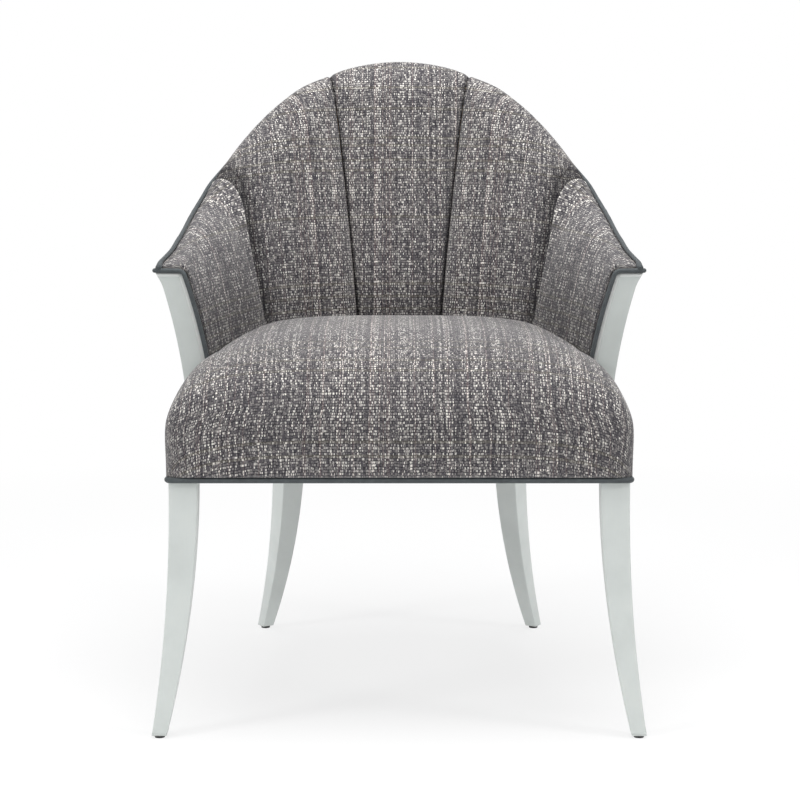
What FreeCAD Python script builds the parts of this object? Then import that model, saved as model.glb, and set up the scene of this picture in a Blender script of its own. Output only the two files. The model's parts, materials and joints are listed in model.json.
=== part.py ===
"""Upholstered barrel lounge chair with a fan of channelled panels, painted arm posts and sabre legs.

Millimetres, +Z up, -Y to the front. The origin is on the floor, under the middle of the chair.
Every upright piece of the back and arms is drawn at a station: a place along the curved plan line of the
seat frame, a distance out from that line, and a height.
"""
import FreeCAD, Part

import math
import os

# Overall sizes
crest_height = 913.0
arm_tip_height = 631.0
seat_crown_height = 540.0
front_half_width = 311.0
frame_depth = 605.0
side_taper_deg = 7.0
back_radius = 355.0
corner_radius = 147.9

# Seat frame
rail_bottom = 350.0
rail_height = 75.0
rail_thickness = 26.0
front_rail_setback = 4.0
joint_gap = 0.2

# Back and arms: how far the shell leans out at its top edge, and how thick it is
crest_flare = 75.0
arm_flare = 46.0
flare_blend_length = 530.0
crest_lean_power = 1.75
arm_lean_power = 2.1
shell_base_thickness = 68.0
shell_top_thickness = 47.0
shell_post_thickness = 43.5
shell_thinning_start = 200.0
crest_padding = 20.0
arm_padding = 10.5
padding_gap = 1.5
pad_back_gap = 6.0
pad_post_gap = 2.5
pad_edge_gap = 3.0
pad_bottom_gap = 5.0
pad_gap = 0.4
crest_roll_width = 20.0
arm_roll_width = 27.0
crest_roll_drop = 12.0
arm_roll_drop = 4.0
crest_roll_height = 30.0
arm_roll_height = 16.0
cloth_thickness = 2.0
cloth_gap = 0.3
pad_cloth_gap = 0.8
shell_cover_gap = 0.8

# Channels between the five inside panels
seam_one_base = 69.0
seam_one_lean = 28.0
seam_two_base = 334.0
seam_two_lean = 64.0
channel_depth = 9.0
channel_top_depth = 4.0
channel_shoulder = 42.0

# Crest and arm rails, slats
crest_rail_height = 55.0
arm_rail_height = 30.0
slat_width = 36.0
slat_thickness = 20.0
slat_setback = 3.0

# Arm posts
post_setback = 140.9
post_depth = 40.0
post_thickness = 36.0
post_lap_thickness = 12.0
post_lip_out = 5.0
post_lip_height = 22.0
post_neck_in = 3.0
post_bevel = 4.5

# Front legs
front_leg_width = 39.0
front_foot_width = 20.5
front_leg_side_sweep = 35.0
front_leg_forward_sweep = 20.0
front_leg_chamfer = 9.0
leg_taper_power = 1.6

# Rear legs, which run on upward as the back posts
rear_leg_to_seam = 74.8
rear_leg_width = 39.0
rear_foot_width = 19.5
rear_leg_sweep = 86.0
rear_leg_bend_height = 330.0
rear_leg_setback = 1.5
back_post_width = 36.0

# Glides under the feet
glide_radius = 7.0
glide_height = 4.0
glide_sides = 20
glide_nail_radius = 1.2
glide_nail_length = 18.0

# Seat
seat_side_overhang = 4.0
seat_front_overhang = 8.5
seat_wall_height = 50.0
seat_crown_setback = 235.0
seat_corner_radius = 18.0
seat_rear_fall = 46.0
seat_rear_draw = 34.0
seat_crown_power = 3.9
seat_front_power = 3.3
seat_cloth_thickness = 2.5
seat_to_panel_gap = 1.5
seat_to_post_gap = 1.0
seat_welt_radius = 4.0

# Welts of the back and arms
outer_welt_radius = 3.0
welt_sides = 8
front_welt_radius = 3.2
front_welt_bend = 9.0
welt_gap = 0.3

# Webbing, dust cover
web_width = 50.0
web_thickness = 1.5
web_landing = 14.0
web_gap = 1.2
dust_cover_thickness = 1.0
dust_cover_inset = 8.0
dust_cover_leg_gap = 2.0

# Corner blocks, loose tenons, bolts
rod_sides = 8
block_leg = 70.0
block_height = 50.0
rear_block_depth = 14.0
front_block_bolt_length = 60.0
rear_block_bolt_length = 40.0
tenon_thickness = 8.0
tenon_height = 45.0
tenon_length = 28.0
bolt_radius = 3.0
bolt_head_width = 11.0
bolt_head_height = 4.0
bolt_head_sides = 6
bolt_spacing = 34.0

# One overrun serves every cut
overrun = 20.0
flat_tolerance = 1e-7
fold_tolerance = 0.4
solver_round_count = 6

# How many straight runs each curve is drawn with
leg_run_count = 7
back_post_run_count = 5
arm_post_run_count = 6
slat_run_count = 4
panel_run_count = 4
arm_panel_run_count = 5
pad_face_run_count = 5
pad_back_run_count = 3
shell_run_count = 4
back_shell_run_count = 22
corner_shell_run_count = 4
arm_shell_run_count = 6
crest_rail_run_count = 16
arm_rail_run_count = 7
back_welt_run_count = 13
arm_welt_run_count = 6
seat_back_run_count = 3
seat_room_run_count = 4
back_web_run_count = 4
hem_corner_run_count = 6
hem_back_run_count = 8
front_welt_bend_run_count = 4
hem_bend_run_count = 3

# Top edge of the shell from the crest's middle to the arm tip:
# share of the way along the plan line, share of the drop from the crest to the tip
top_edge_shares = (
    (0.0, 1.0), (0.062, 0.988), (0.116, 0.958), (0.155, 0.92), (0.213, 0.862), (0.26, 0.785),
    (0.308, 0.69), (0.352, 0.575), (0.396, 0.455), (0.432, 0.36), (0.468, 0.26),
    (0.505, 0.208), (0.59, 0.168), (0.73, 0.096), (0.86, 0.047), (1.0, 0.0),
)
# Places of the webbing: share of the seat's half width, and of the depth behind the arm posts
lengthwise_web_shares = (-0.41, -0.14, 0.14, 0.41)
cross_web_shares = (0.12, 0.36, 0.58, 0.84)
# Where sections of a channelled panel are cut: share of the shoulder at each seam
shoulder_shares = (0.0, 0.18, 0.5, 1.0)
roll_shares = (0.3, 0.62, 1.0)
edge_shares = (0.55, 1.0)
# Places of the back's webbing: share of the way between its uprights, from the middle to the arm posts
back_web_shares = (0.54, 0.49, 0.3, 0.72)
# Where the pads thin to the arm posts, and where the posts' bevel starts: share of the way up or along
pad_step_share = 0.75
post_bevel_start_share = 0.3
# Heights of the arm front welt's points, as shares of its rise
front_welt_shares = (0.0, 0.35, 0.7, 1.0)
# Radius of the seat welt's turn at the front corners, as a share of the welt's own
seat_welt_bend_share = 1.15
# Angles, as shares of a right angle, at which the seat's crown and front roll are drawn
crown_angle_shares = (0.0, 0.08, 0.2, 0.36, 0.54, 0.76)
front_angle_shares = (0.05, 0.13, 0.22, 0.33, 0.46, 0.61, 0.78, 1.0)

# The plan line: an arc round the back, a corner arc inside it, and a straight side that both meet smoothly
rail_top = rail_bottom + rail_height
taper = math.radians(side_taper_deg)
side_normal = math.pi / 2 - taper
back_centre = frame_depth - back_radius
corner_across = front_half_width * math.cos(taper) - corner_radius - back_centre * math.sin(taper)
corner_along = math.sqrt((back_radius - corner_radius) ** 2 - corner_across ** 2)
corner_centre = (corner_across * math.cos(taper) - corner_along * math.sin(taper),
                 back_centre + corner_across * math.sin(taper) + corner_along * math.cos(taper))
back_arc = math.atan2(corner_centre[0], corner_centre[1] - back_centre)
tangent = (corner_centre[0] + corner_radius * math.cos(taper),
           corner_centre[1] + corner_radius * math.sin(taper))
back_length = back_radius * back_arc
corner_end = back_length + corner_radius * (side_normal - back_arc)
front_end = corner_end + tangent[1] / math.cos(taper)
post_front = front_end - post_setback
post_back = post_front - post_depth
seam_one_top = seam_one_base + seam_one_lean
seam_two_top = seam_two_base - seam_two_lean
rear_leg_station = seam_two_top - rear_leg_to_seam
mid_depth = (frame_depth + crest_flare + outer_welt_radius - front_leg_forward_sweep) / 2
nodes = {}


def mix(low, high, share):
    return low + (high - low) * share


def smooth(share):
    share = min(max(share, 0.0), 1.0)
    return share * share * (3 - 2 * share)


def curve_through(table, share):
    """Cubic through a table's points, with the mean slope of its neighbours at each."""
    last = len(table) - 1
    slopes = []
    for i in range(last + 1):
        low, high = table[max(i - 1, 0)], table[min(i + 1, last)]
        slopes.append((high[1] - low[1]) / (high[0] - low[0]))
    slopes[0] = 0.0
    i = 0
    while i < last - 1 and share > table[i + 1][0]:
        i += 1
    step = table[i + 1][0] - table[i][0]
    t = min(max((share - table[i][0]) / step, 0.0), 1.0)
    rise = smooth(t)
    return (table[i][1] * (1 - rise) + table[i + 1][1] * rise
            + step * slopes[i] * t * (1 - t) ** 2 - step * slopes[i + 1] * t * t * (1 - t))


def at(x, y, z):
    """A point given by its depth behind the front legs' faces."""
    return FreeCAD.Vector(x, y - mid_depth, z)


def plan(station):
    """Point and outward angle of the plan line, at a distance along it from the middle of the back."""
    if station <= back_length:
        angle = station / back_radius
        return back_radius * math.sin(angle), back_centre + back_radius * math.cos(angle), angle
    if station <= corner_end:
        angle = back_arc + (station - back_length) / corner_radius
        return (corner_centre[0] + corner_radius * math.sin(angle),
                corner_centre[1] + corner_radius * math.cos(angle), angle)
    along = station - corner_end
    return (tangent[0] + along * math.sin(taper), tangent[1] - along * math.cos(taper), side_normal)


def place(station, out, z):
    """Point at a station, a distance out from the plan line, and a height."""
    x, y, angle = plan(abs(station))
    x += out * math.sin(angle)
    y += out * math.cos(angle)
    return at(math.copysign(x, station) if station else 0.0, y, z)


def top_height(station):
    return mix(arm_tip_height, crest_height, curve_through(top_edge_shares, abs(station) / post_front))


def outer(station, z):
    """How far the shell's outer face stands out from the plan line at a height."""
    blend = smooth(abs(station) / flare_blend_length)
    share = (z - rail_bottom) / (top_height(station) - rail_bottom)
    power = mix(crest_lean_power, arm_lean_power, blend)
    return mix(crest_flare, arm_flare, blend) * max(share, 0.0) ** power


def thinning(station):
    return smooth((abs(station) - shell_thinning_start) / (post_front - shell_thinning_start))


def thickness(station, z):
    share = min(max((z - rail_top) / (top_height(station) - rail_top), 0.0), 1.0)
    middle = mix(shell_base_thickness, shell_top_thickness, share)
    return mix(middle, shell_post_thickness, thinning(station))


def pad_back(station):
    """Depth of the frame behind the pads: rails at the back, posts at the front of the arms."""
    step_start = mix(corner_end, post_back, pad_step_share)
    share = smooth((abs(station) - step_start) / (post_back - step_start))
    return mix(rail_thickness + pad_back_gap, post_thickness + pad_post_gap, share)


def edge_drop(station):
    return mix(crest_roll_drop, arm_roll_drop, smooth(abs(station) / seam_two_base))


def top_drop(station):
    """How far the frame's top lies under the shell's top edge."""
    return mix(crest_padding, arm_padding, smooth(abs(station) / seam_two_base))


def edge_width(station):
    return mix(crest_roll_width, arm_roll_width, smooth(abs(station) / seam_two_base))


def arcs(points):
    """Arcs through each point, the next and the one after it, end to end."""
    edges = []
    for first, middle, last in zip(points[::2], points[1::2], points[2::2]):
        rise = (middle - first).cross(last - first).Length / (last - first).Length
        edges.append(Part.Arc(first, middle, last).toShape() if rise > joint_gap / 10 else line(first, last))
    return edges


def line(start, end):
    return Part.LineSegment(start, end).toShape()


def quad(a, b, c, d):
    """Faces through four corners: one flat or slightly twisted, or two where the twist is large.
    The fold of the two runs alike on both sides of the chair."""
    normal = (b - a).cross(d - a)
    twist = abs((c - a).dot(normal.normalize())) if normal.Length else 0.0
    if twist < flat_tolerance:
        return [Part.Face(polygon([a, b, c, d]))]
    if twist < fold_tolerance:
        return [Part.makeRuledSurface(line(a, b), line(d, c))]
    if a.x + b.x + c.x + d.x < 0:
        a, b, c, d = b, c, d, a
    return [Part.Face(polygon([a, b, c])), Part.Face(polygon([a, c, d]))]


def loft(outlines, closed=False):
    """Solid of straight lines from each closed outline of points to the next."""
    faces = []
    for low, high in zip(outlines, outlines[1:]):
        for i in range(len(low)):
            faces += quad(low[i - 1], low[i], high[i], high[i - 1])
    if not closed:
        faces += [Part.Face(polygon(outlines[0])), Part.Face(polygon(outlines[-1]))]
    shell = Part.makeShell(faces)
    shell.sewShape()
    solid = Part.makeSolid(shell)
    if solid.Volume < 0:
        solid.reverse()
    return solid


def polygon(points):
    return Part.makePolygon(points + points[:1])


def prism(points, height):
    return Part.Face(polygon(points)).extrude(FreeCAD.Vector(0, 0, height))


def mirrored(shape):
    return shape.mirror(FreeCAD.Vector(0, 0, 0), FreeCAD.Vector(1, 0, 0))


def add_pair(name, right):
    """One piece for each side of the chair. The right one is drawn."""
    nodes[name + "_right"] = right
    nodes[name + "_left"] = mirrored(right)


def panel_thickness_loss(share, width, crowned):
    """How far the channel draws in, 0 on the panel and 1 in the seam."""
    low = share * width if crowned[0] else channel_shoulder
    high = (1 - share) * width if crowned[1] else channel_shoulder
    near = min(min(low, high) / channel_shoulder, 1.0)
    return (1 - near) ** 2


class Cut:
    """One upright cut through a panel, in the plane between its base and top stations."""

    def __init__(self, base, top, loss):
        self.base, self.top, self.loss = base, top, loss
        self.low = rail_top + pad_bottom_gap
        self.high = top_height(top) - channel_top_depth * loss
        self.floor = top_height(top) - top_drop(top)
        middle = (base + top) / 2
        x, y, angle = plan(abs(middle))
        out = FreeCAD.Vector(math.copysign(math.sin(angle), middle) if middle else 0.0, math.cos(angle), 0)
        self.root = place(base, -shell_base_thickness / 2, self.low)
        tip = place(top, outer(top, self.high) - shell_top_thickness / 2, self.high)
        self.normal = (tip - self.root).cross(out).normalize()

    def line_station(self, z):
        """Station of the straight line from base to top, at a height."""
        return mix(self.base, self.top, (z - self.low) / (self.high - self.low))

    def station(self, out, z):
        """Station at which a point of this depth and height lies in the plane."""
        guess = self.line_station(z)
        step = channel_shoulder / 10
        for _ in range(solver_round_count):
            here = (place(guess, out, z) - self.root).dot(self.normal)
            slope = ((place(guess + step, out, z) - self.root).dot(self.normal) - here) / step
            guess -= here / slope
        return guess

    def point(self, out, z):
        return place(self.station(out, z), out, z)

    def surface(self, inset):
        """Points of the inside face, over the rolled top, to the outer edge."""
        top = self.high - inset
        drop, width = edge_drop(self.top), edge_width(self.top)
        roll_base = self.high - mix(crest_roll_height, arm_roll_height, smooth(abs(self.top) / seam_two_base))
        points = []
        for z in stations_between(self.low, roll_base, pad_face_run_count):
            station = self.line_station(z)
            out = outer(station, z) - thickness(station, z) + channel_depth * self.loss + inset
            points.append((out, z))
        edge = outer(self.top, self.high - drop)
        crown = edge - width
        reach = crown - points[-1][0]
        for share in roll_shares:
            angle = share * math.pi / 2
            points.append((crown - reach * math.cos(angle), roll_base + (top - roll_base) * math.sin(angle)))
        for share in edge_shares:
            angle = share * math.pi / 2
            points.append((crown + (width - inset) * math.sin(angle), top - drop + drop * math.cos(angle)))
        return [self.point(out, z) for out, z in points]

    def back(self):
        """Points of the face against the frame, from the rail's top down."""
        points = []
        for z in stations_between(self.floor, self.low, pad_back_run_count):
            station = self.line_station(z)
            points.append(self.point(outer(station, z) - pad_back(station), z))
        return points

    def pad_outline(self):
        face, back = self.surface(cloth_thickness + pad_cloth_gap), self.back()
        corner = self.point(outer(self.top, self.floor) - pad_edge_gap, self.floor)
        return face + [corner] + back

    def cover_outline(self):
        outside, inside = self.surface(0.0), self.surface(cloth_thickness)
        return outside + inside[::-1]


def panel_cuts(low_seam, high_seam, crowned):
    """Cuts across one panel. A seam is its base and top station."""
    width = (abs(high_seam[0] - low_seam[0]) + abs(high_seam[1] - low_seam[1])) / 2
    shoulder = channel_shoulder / width
    shares = [share * shoulder for share in shoulder_shares]
    far = [1 - share for share in reversed(shares)] if crowned[1] else [1.0]
    run_count = panel_run_count if crowned[1] else arm_panel_run_count
    middle = stations_between(shares[-1], far[0], run_count)[1:-1]
    cuts = []
    for share in shares + middle + far:
        base = mix(low_seam[0], high_seam[0], share)
        top = mix(low_seam[1], high_seam[1], share)
        cuts.append(Cut(base, top, panel_thickness_loss(share, width, crowned)))
    return cuts


def inside_panels():
    half_gap = pad_gap / 2
    centre = panel_cuts((-seam_one_base + half_gap, -seam_one_top + half_gap),
                        (seam_one_base - half_gap, seam_one_top - half_gap), (True, True))
    side = panel_cuts((seam_one_base + half_gap, seam_one_top + half_gap),
                      (seam_two_base - half_gap, seam_two_top - half_gap), (True, True))
    arm_end = post_front - front_welt_radius - welt_gap
    arm = panel_cuts((seam_two_base + half_gap, seam_two_top + half_gap), (arm_end, arm_end), (True, False))
    nodes["back_pad_centre"] = loft([cut.pad_outline() for cut in centre])
    nodes["inside_cover_centre"] = loft([cut.cover_outline() for cut in centre])
    add_pair("back_pad", loft([cut.pad_outline() for cut in side]))
    add_pair("inside_cover", loft([cut.cover_outline() for cut in side]))
    add_pair("arm_pad", loft([cut.pad_outline() for cut in arm]))
    add_pair("inside_arm_cover", loft([cut.cover_outline() for cut in arm]))


def shell_strip(station, low, inner_out, outer_out):
    """A thin upright section that follows the shell's outer face."""
    heights = stations_between(low, top_height(station) - edge_drop(station), shell_run_count)
    outside = [place(station, outer(station, z) + outer_out, z) for z in heights]
    inside = [place(station, outer(station, z) + inner_out, z) for z in heights]
    return outside + inside[::-1]


def stations_between(start, end, count):
    return [mix(start, end, i / count) for i in range(count + 1)]


def outside_covers():
    low = rail_bottom + 2 * seat_welt_radius + 2 * joint_gap
    inner_out, outer_out = shell_cover_gap, shell_cover_gap + cloth_thickness
    edge = seam_two_top - pad_gap
    nodes["outside_back_cover"] = loft([shell_strip(s, low, inner_out, outer_out)
                                        for s in stations_between(-edge, edge, back_shell_run_count)])
    stations = stations_between(seam_two_top, corner_end, corner_shell_run_count)
    stations += stations_between(corner_end, post_back - pad_gap, arm_shell_run_count)[1:]
    add_pair("outside_arm_cover", loft([shell_strip(s, low, inner_out, outer_out) for s in stations]))


def rail_outline(station, rail_depth):
    """Section of a rail that follows the shell's top edge."""
    high = top_height(station) - top_drop(station) - padding_gap
    low = high - rail_depth
    low_out, high_out = outer(station, low), outer(station, high)
    return [place(station, low_out - rail_thickness, low), place(station, low_out, low),
            place(station, high_out, high), place(station, high_out - rail_thickness, high)]


def top_rails():
    end = rear_leg_station - back_post_width / 2
    nodes["crest_rail"] = loft([rail_outline(s, crest_rail_height)
                                for s in stations_between(-end, end, crest_rail_run_count)])
    start = rear_leg_station + back_post_width / 2
    stations = stations_between(start, corner_end, arm_rail_run_count)
    stations += stations_between(corner_end, post_back, arm_shell_run_count)[1:]
    add_pair("arm_rail", loft([rail_outline(s, arm_rail_height) for s in stations]))


def plan_band(start, end, out_low, out_high):
    """Closed plan outline between two stations and two offsets, of lines and arcs."""
    def run(out, low, high):
        edges = []
        breaks = [low] + [s for s in (back_length, corner_end) if low < s < high] + [high]
        for first, last in zip(breaks, breaks[1:]):
            points = [place(s, out, rail_bottom) for s in (first, (first + last) / 2, last)]
            if first >= corner_end:
                edges.append(line(points[0], points[2]))
            else:
                edges.append(Part.Arc(*points).toShape())
        return edges
    outside, inside = run(out_high, start, end), run(out_low, start, end)
    closing = [line(place(start, out_low, rail_bottom), place(start, out_high, rail_bottom)),
               line(place(end, out_low, rail_bottom), place(end, out_high, rail_bottom))]
    return Part.Wire(Part.__sortEdges__(outside + inside + closing))


def band_solid(wire, height):
    return Part.Face(wire).extrude(FreeCAD.Vector(0, 0, height))


def station_box(station_low, station_high, out_low, out_high, z_low, z_high):
    """Straight-sided block on the straight side of the plan."""
    corners = [place(station_low, out_low, z_low), place(station_high, out_low, z_low),
               place(station_high, out_high, z_low), place(station_low, out_high, z_low)]
    return prism(corners, z_high - z_low)


def seat_frame():
    half = front_half_width - front_leg_width
    nodes["front_rail"] = prism([at(-half, front_rail_setback, rail_bottom),
                                 at(half, front_rail_setback, rail_bottom),
                                 at(half, front_rail_setback + rail_thickness, rail_bottom),
                                 at(-half, front_rail_setback + rail_thickness, rail_bottom)], rail_height)
    front = front_end - front_leg_width / math.cos(taper)
    rear = rear_leg_station + rear_leg_width / 2
    side = band_solid(plan_band(rear, front, -rail_thickness, 0.0), rail_height)
    side = side.cut(station_box(post_back, post_front, -post_lap_thickness, overrun,
                                rail_bottom - overrun, rail_top + overrun))
    side = side.cut(at_box(0, 0, front_half_width, front_leg_width, rail_bottom - overrun,
                           rail_top + overrun))
    add_pair("side_rail", side)
    end = rear_leg_station - rear_leg_width / 2
    half_back = band_solid(plan_band(0.0, end, -rail_thickness, 0.0), rail_height)
    nodes["back_rail"] = half_back.fuse(mirrored(half_back)).removeSplitter()


def trim_rails():
    """End each rail on the sides of the rear legs."""
    legs = [nodes["rear_leg_right"], nodes["rear_leg_left"]]
    for name in ("back_rail", "crest_rail"):
        nodes[name] = clear_of(nodes[name], legs)
    for name in ("side_rail", "arm_rail"):
        add_pair(name, clear_of(nodes[name + "_right"], legs[:1]))


def at_box(x_low, y_low, x_high, y_high, z_low, z_high):
    return prism([at(x_low, y_low, z_low), at(x_high, y_low, z_low), at(x_high, y_high, z_low),
                  at(x_low, y_high, z_low)], z_high - z_low)


def front_leg():
    """Square leg that sweeps out and forward in its lower part, over squares at rising heights."""
    outlines = []
    for fall in stations_between(1.0, 0.0, leg_run_count):
        z = mix(rail_bottom, glide_height, fall)
        width = mix(front_leg_width, front_foot_width, fall ** leg_taper_power)
        middle = front_half_width - front_leg_width / 2 + front_leg_side_sweep * fall ** 2
        front = -front_leg_forward_sweep * fall ** 2
        outlines.append([at(middle - width / 2, front, z), at(middle + width / 2, front, z),
                         at(middle + width / 2, front + width, z), at(middle - width / 2, front + width, z)])
    lower = loft(outlines)
    half, inner = front_half_width, front_half_width - front_leg_width
    upper = prism([at(inner, 0, rail_bottom), at(half - front_leg_chamfer, 0, rail_bottom),
                   at(half, front_leg_chamfer, rail_bottom), at(half, front_leg_width, rail_bottom),
                   at(inner, front_leg_width, rail_bottom)], rail_height)
    side_cut = station_box(corner_end, front_end + overrun, 0, front_leg_width, rail_bottom, rail_top)
    return lower.fuse(upper.cut(side_cut)).removeSplitter()


def rear_axes():
    """Level directions across the rear leg, and outward along it."""
    angle = plan(rear_leg_station)[2]
    return (FreeCAD.Vector(math.cos(angle), -math.sin(angle), 0),
            FreeCAD.Vector(math.sin(angle), math.cos(angle), 0))


def rear_leg_outline(radius_out, depth, width, z):
    """Level section of the rear leg, square to the plan line."""
    across, along = rear_axes()
    face = place(rear_leg_station, radius_out - rear_leg_setback, z)
    return [face - across * (width / 2), face + across * (width / 2),
            face + across * (width / 2) - along * depth, face - across * (width / 2) - along * depth]


def rear_leg():
    """Sabre leg below the rail, and the back post that leans with the shell above it."""
    lower_outlines = []
    for fall in stations_between(1.0, 0.0, leg_run_count):
        z = mix(rail_bottom, glide_height, fall)
        bend = max((rear_leg_bend_height - z) / rear_leg_bend_height, 0.0)
        width = mix(rear_leg_width, rear_foot_width, fall ** leg_taper_power)
        out = rear_leg_sweep * bend ** 2 - (rear_leg_width - width) / 2
        lower_outlines.append(rear_leg_outline(out, width, width, z))
    lower = loft(lower_outlines)
    depth = rail_thickness - rear_leg_setback
    middle = loft([rear_leg_outline(0.0, rear_leg_width, rear_leg_width, rail_bottom),
                   rear_leg_outline(outer(rear_leg_station, rail_top), depth, rear_leg_width, rail_top)])
    high = top_height(rear_leg_station - back_post_width)
    upper_outlines = []
    for z in stations_between(rail_top, high, back_post_run_count):
        reach = min(z, top_height(rear_leg_station))
        lean = outer(rear_leg_station - back_post_width / 2, reach)
        upper_outlines.append(rear_leg_outline(lean, depth, back_post_width, z))
    upper = loft(upper_outlines)
    return lower.fuse(middle).fuse(upper.cut(post_top_cutter())).removeSplitter()


def post_top_cutter():
    """Everything above the sloping top edge of the rails, near the back post."""
    across, along = rear_axes()
    half = back_post_width / 2
    rise = crest_height - arm_tip_height
    low_side, high_side = [top_height(s) - top_drop(s) - 3 * padding_gap
                           for s in (rear_leg_station + half, rear_leg_station - half)]
    slope = (high_side - low_side) / back_post_width
    start = place(rear_leg_station, -back_post_width * 2, 0)
    corners = ((-half - overrun, high_side + slope * overrun), (half + overrun, low_side - slope * overrun),
               (half + overrun, high_side + rise), (-half - overrun, high_side + rise))
    points = [start + across * side + FreeCAD.Vector(0, 0, z) for side, z in corners]
    reach = back_post_width * 4 + crest_flare
    return Part.Face(polygon(points)).extrude(along * reach)


def slat(base, top):
    """Upright slat behind a seam, from the seat rail to the rail above it."""
    outlines = []
    for share in stations_between(0.0, 1.0, slat_run_count):
        z = mix(rail_top, top_height(top) - top_drop(top), share)
        station = mix(base, top, share)
        low, high = station - slat_width / 2, station + slat_width / 2
        low_out, high_out = outer(low, z) - slat_setback, outer(high, z) - slat_setback
        outlines.append([place(low, low_out - slat_thickness, z), place(high, high_out - slat_thickness, z),
                         place(high, high_out, z), place(low, low_out, z)])
    return loft(outlines)


def lowest(shape):
    """The lowest solid that a cut leaves."""
    return min(shape.Solids, key=lambda solid: solid.BoundBox.ZMin)


def slats():
    add_pair("back_slat", lowest(slat(seam_one_base, seam_one_top).cut(nodes["crest_rail"])))
    add_pair("arm_slat", lowest(slat(seam_two_base, seam_two_top).cut(nodes["arm_rail_right"])))


def post_out(z):
    """Outer face of the arm post: the shell's lean, with a lip at the top."""
    lip_base = post_top() - post_lip_height
    lip = max((z - lip_base) / post_lip_height, 0.0)
    return outer(post_front, z) + post_lip_out * lip ** 2


def post_in(z):
    """Inner face of the arm post."""
    share = (z - rail_top) / (post_top() - rail_top)
    return outer(post_front, z) - post_thickness + post_neck_in * max(share, 0.0)


def post_top():
    return top_height(post_front) - top_drop(post_front) - 2 * joint_gap


def post_point(out, z):
    """Point in the plane of the post's front face."""
    return place(post_front, out, z)


def arm_post():
    low_z, high_z = rail_top, post_top()
    lip_base = high_z - post_lip_height
    outside = [post_point(post_out(z), z)
               for z in stations_between(rail_bottom, lip_base, arm_post_run_count)]
    lip = [post_point(post_out(z), z) for z in (lip_base, (lip_base + high_z) / 2, high_z)]
    inside = [post_point(post_in(z), z) for z in stations_between(high_z, low_z, arm_post_run_count)]
    lap_in = post_point(-post_lap_thickness, rail_bottom)
    shoulder = post_point(-post_lap_thickness, rail_top)
    outline = Part.Wire(arcs(outside) + arcs(lip) + [line(lip[-1], inside[0])] + arcs(inside)
                        + [line(inside[-1], shoulder), line(shoulder, lap_in), line(lap_in, outside[0])])
    backward = (place(post_back, 0, 0) - place(post_front, 0, 0))
    post = Part.Face(outline).extrude(backward)
    edges = [edge for edge in post.Edges if is_front_edge(edge, high_z)]
    return post.makeChamfer(post_bevel, edges)


def is_front_edge(edge, high_z):
    """The top edge and the inner edge of the post's front face."""
    middle = edge.valueAt((edge.FirstParameter + edge.LastParameter) / 2)
    plane = place(post_front, 0, 0)
    forward = (place(post_front, 0, 0) - place(post_back, 0, 0)).normalize()
    if abs((middle - plane).dot(forward)) > joint_gap:
        return False
    if all(abs(end.Point.z - high_z) < joint_gap for end in edge.Vertexes):
        return True
    return middle.z > mix(rail_top, high_z, post_bevel_start_share) and middle.x < post_point(
        post_in(middle.z) + post_thickness / 4, middle.z).x


def tube_along(centres, radius, upright):
    """Cord along points. One corner of its many-sided section turns to an upright direction."""
    far = [centres[0] * 2 - centres[1]] + centres + [centres[-1] * 2 - centres[-2]]
    return loft(rings(far, radius, upright))


def closed_tube(centres, radius, upright):
    """The same, round a closed loop."""
    outlines = rings(centres[-1:] + centres + centres[:1], radius, upright)
    return loft(outlines + outlines[:1], True)


def rings(centres, radius, upright):
    """A ring at each point but the first and last, square to the mean of the runs on both its sides."""
    outlines = []
    for before, here, after in zip(centres, centres[1:], centres[2:]):
        normal = ((here - before).normalize() + (after - here).normalize()).normalize()
        outlines.append(ring(here, normal, radius, upright, welt_sides))
    return outlines


def ring(centre, normal, radius, upright, sides):
    """Regular polygon round a centre, square to a normal."""
    side = normal.cross(upright).normalize()
    other = side.cross(normal)
    turns = [2 * math.pi * i / sides for i in range(sides)]
    return [centre + side * (radius * math.sin(a)) + other * (radius * math.cos(a)) for a in turns]


def outer_welt():
    """Cord along the shell's outside edge, from one arm tip over the crest to the other."""
    lift = outer_welt_radius + cloth_gap + welt_gap
    half = stations_between(0.0, corner_end, back_welt_run_count)
    half += stations_between(corner_end, post_front, arm_welt_run_count)[1:]
    centres = []
    for station in [-s for s in reversed(half[1:])] + half:
        z = top_height(station) - edge_drop(station) + outer_welt_radius
        centres.append(place(station, outer(station, top_height(station) - edge_drop(station)) + lift, z))
    return tube_along(centres, outer_welt_radius, FreeCAD.Vector(0, 0, 1))


def turned_corner(before, corner, after, radius):
    """Start, middle and end of the arc that turns a corner."""
    back, ahead = (before - corner).normalize(), (after - corner).normalize()
    half = math.acos(back.dot(ahead)) / 2
    trim = radius / math.tan(half)
    middle = corner + (back + ahead).normalize() * (radius / math.sin(half) - radius)
    return corner + back * trim, middle, corner + ahead * trim


def arc_points(start, middle, end, count):
    """Evenly spaced points on the arc through three points."""
    arc = Part.Arc(start, middle, end)
    first, last = arc.FirstParameter, arc.LastParameter
    return [arc.value(spot) for spot in stations_between(first, last, count)]


def arm_front_welt():
    """Cord over the top of the post and down its inner edge."""
    gap = front_welt_radius + welt_gap
    top_z = post_top() + gap
    heights = [mix(rail_top + pad_bottom_gap, top_z, share) for share in front_welt_shares]
    low, lower, upper, corner = [post_point(post_in(z) - gap, z) for z in heights]
    far = post_point(post_out(post_top()), top_z)
    turn = turned_corner(upper, corner, far, front_welt_bend)
    forward = (place(post_front, 0, 0) - place(post_back, 0, 0)).normalize()
    bend = arc_points(turn[2], turn[1], turn[0], front_welt_bend_run_count)
    return tube_along([far] + bend + [upper, lower, low], front_welt_radius, forward)


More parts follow.
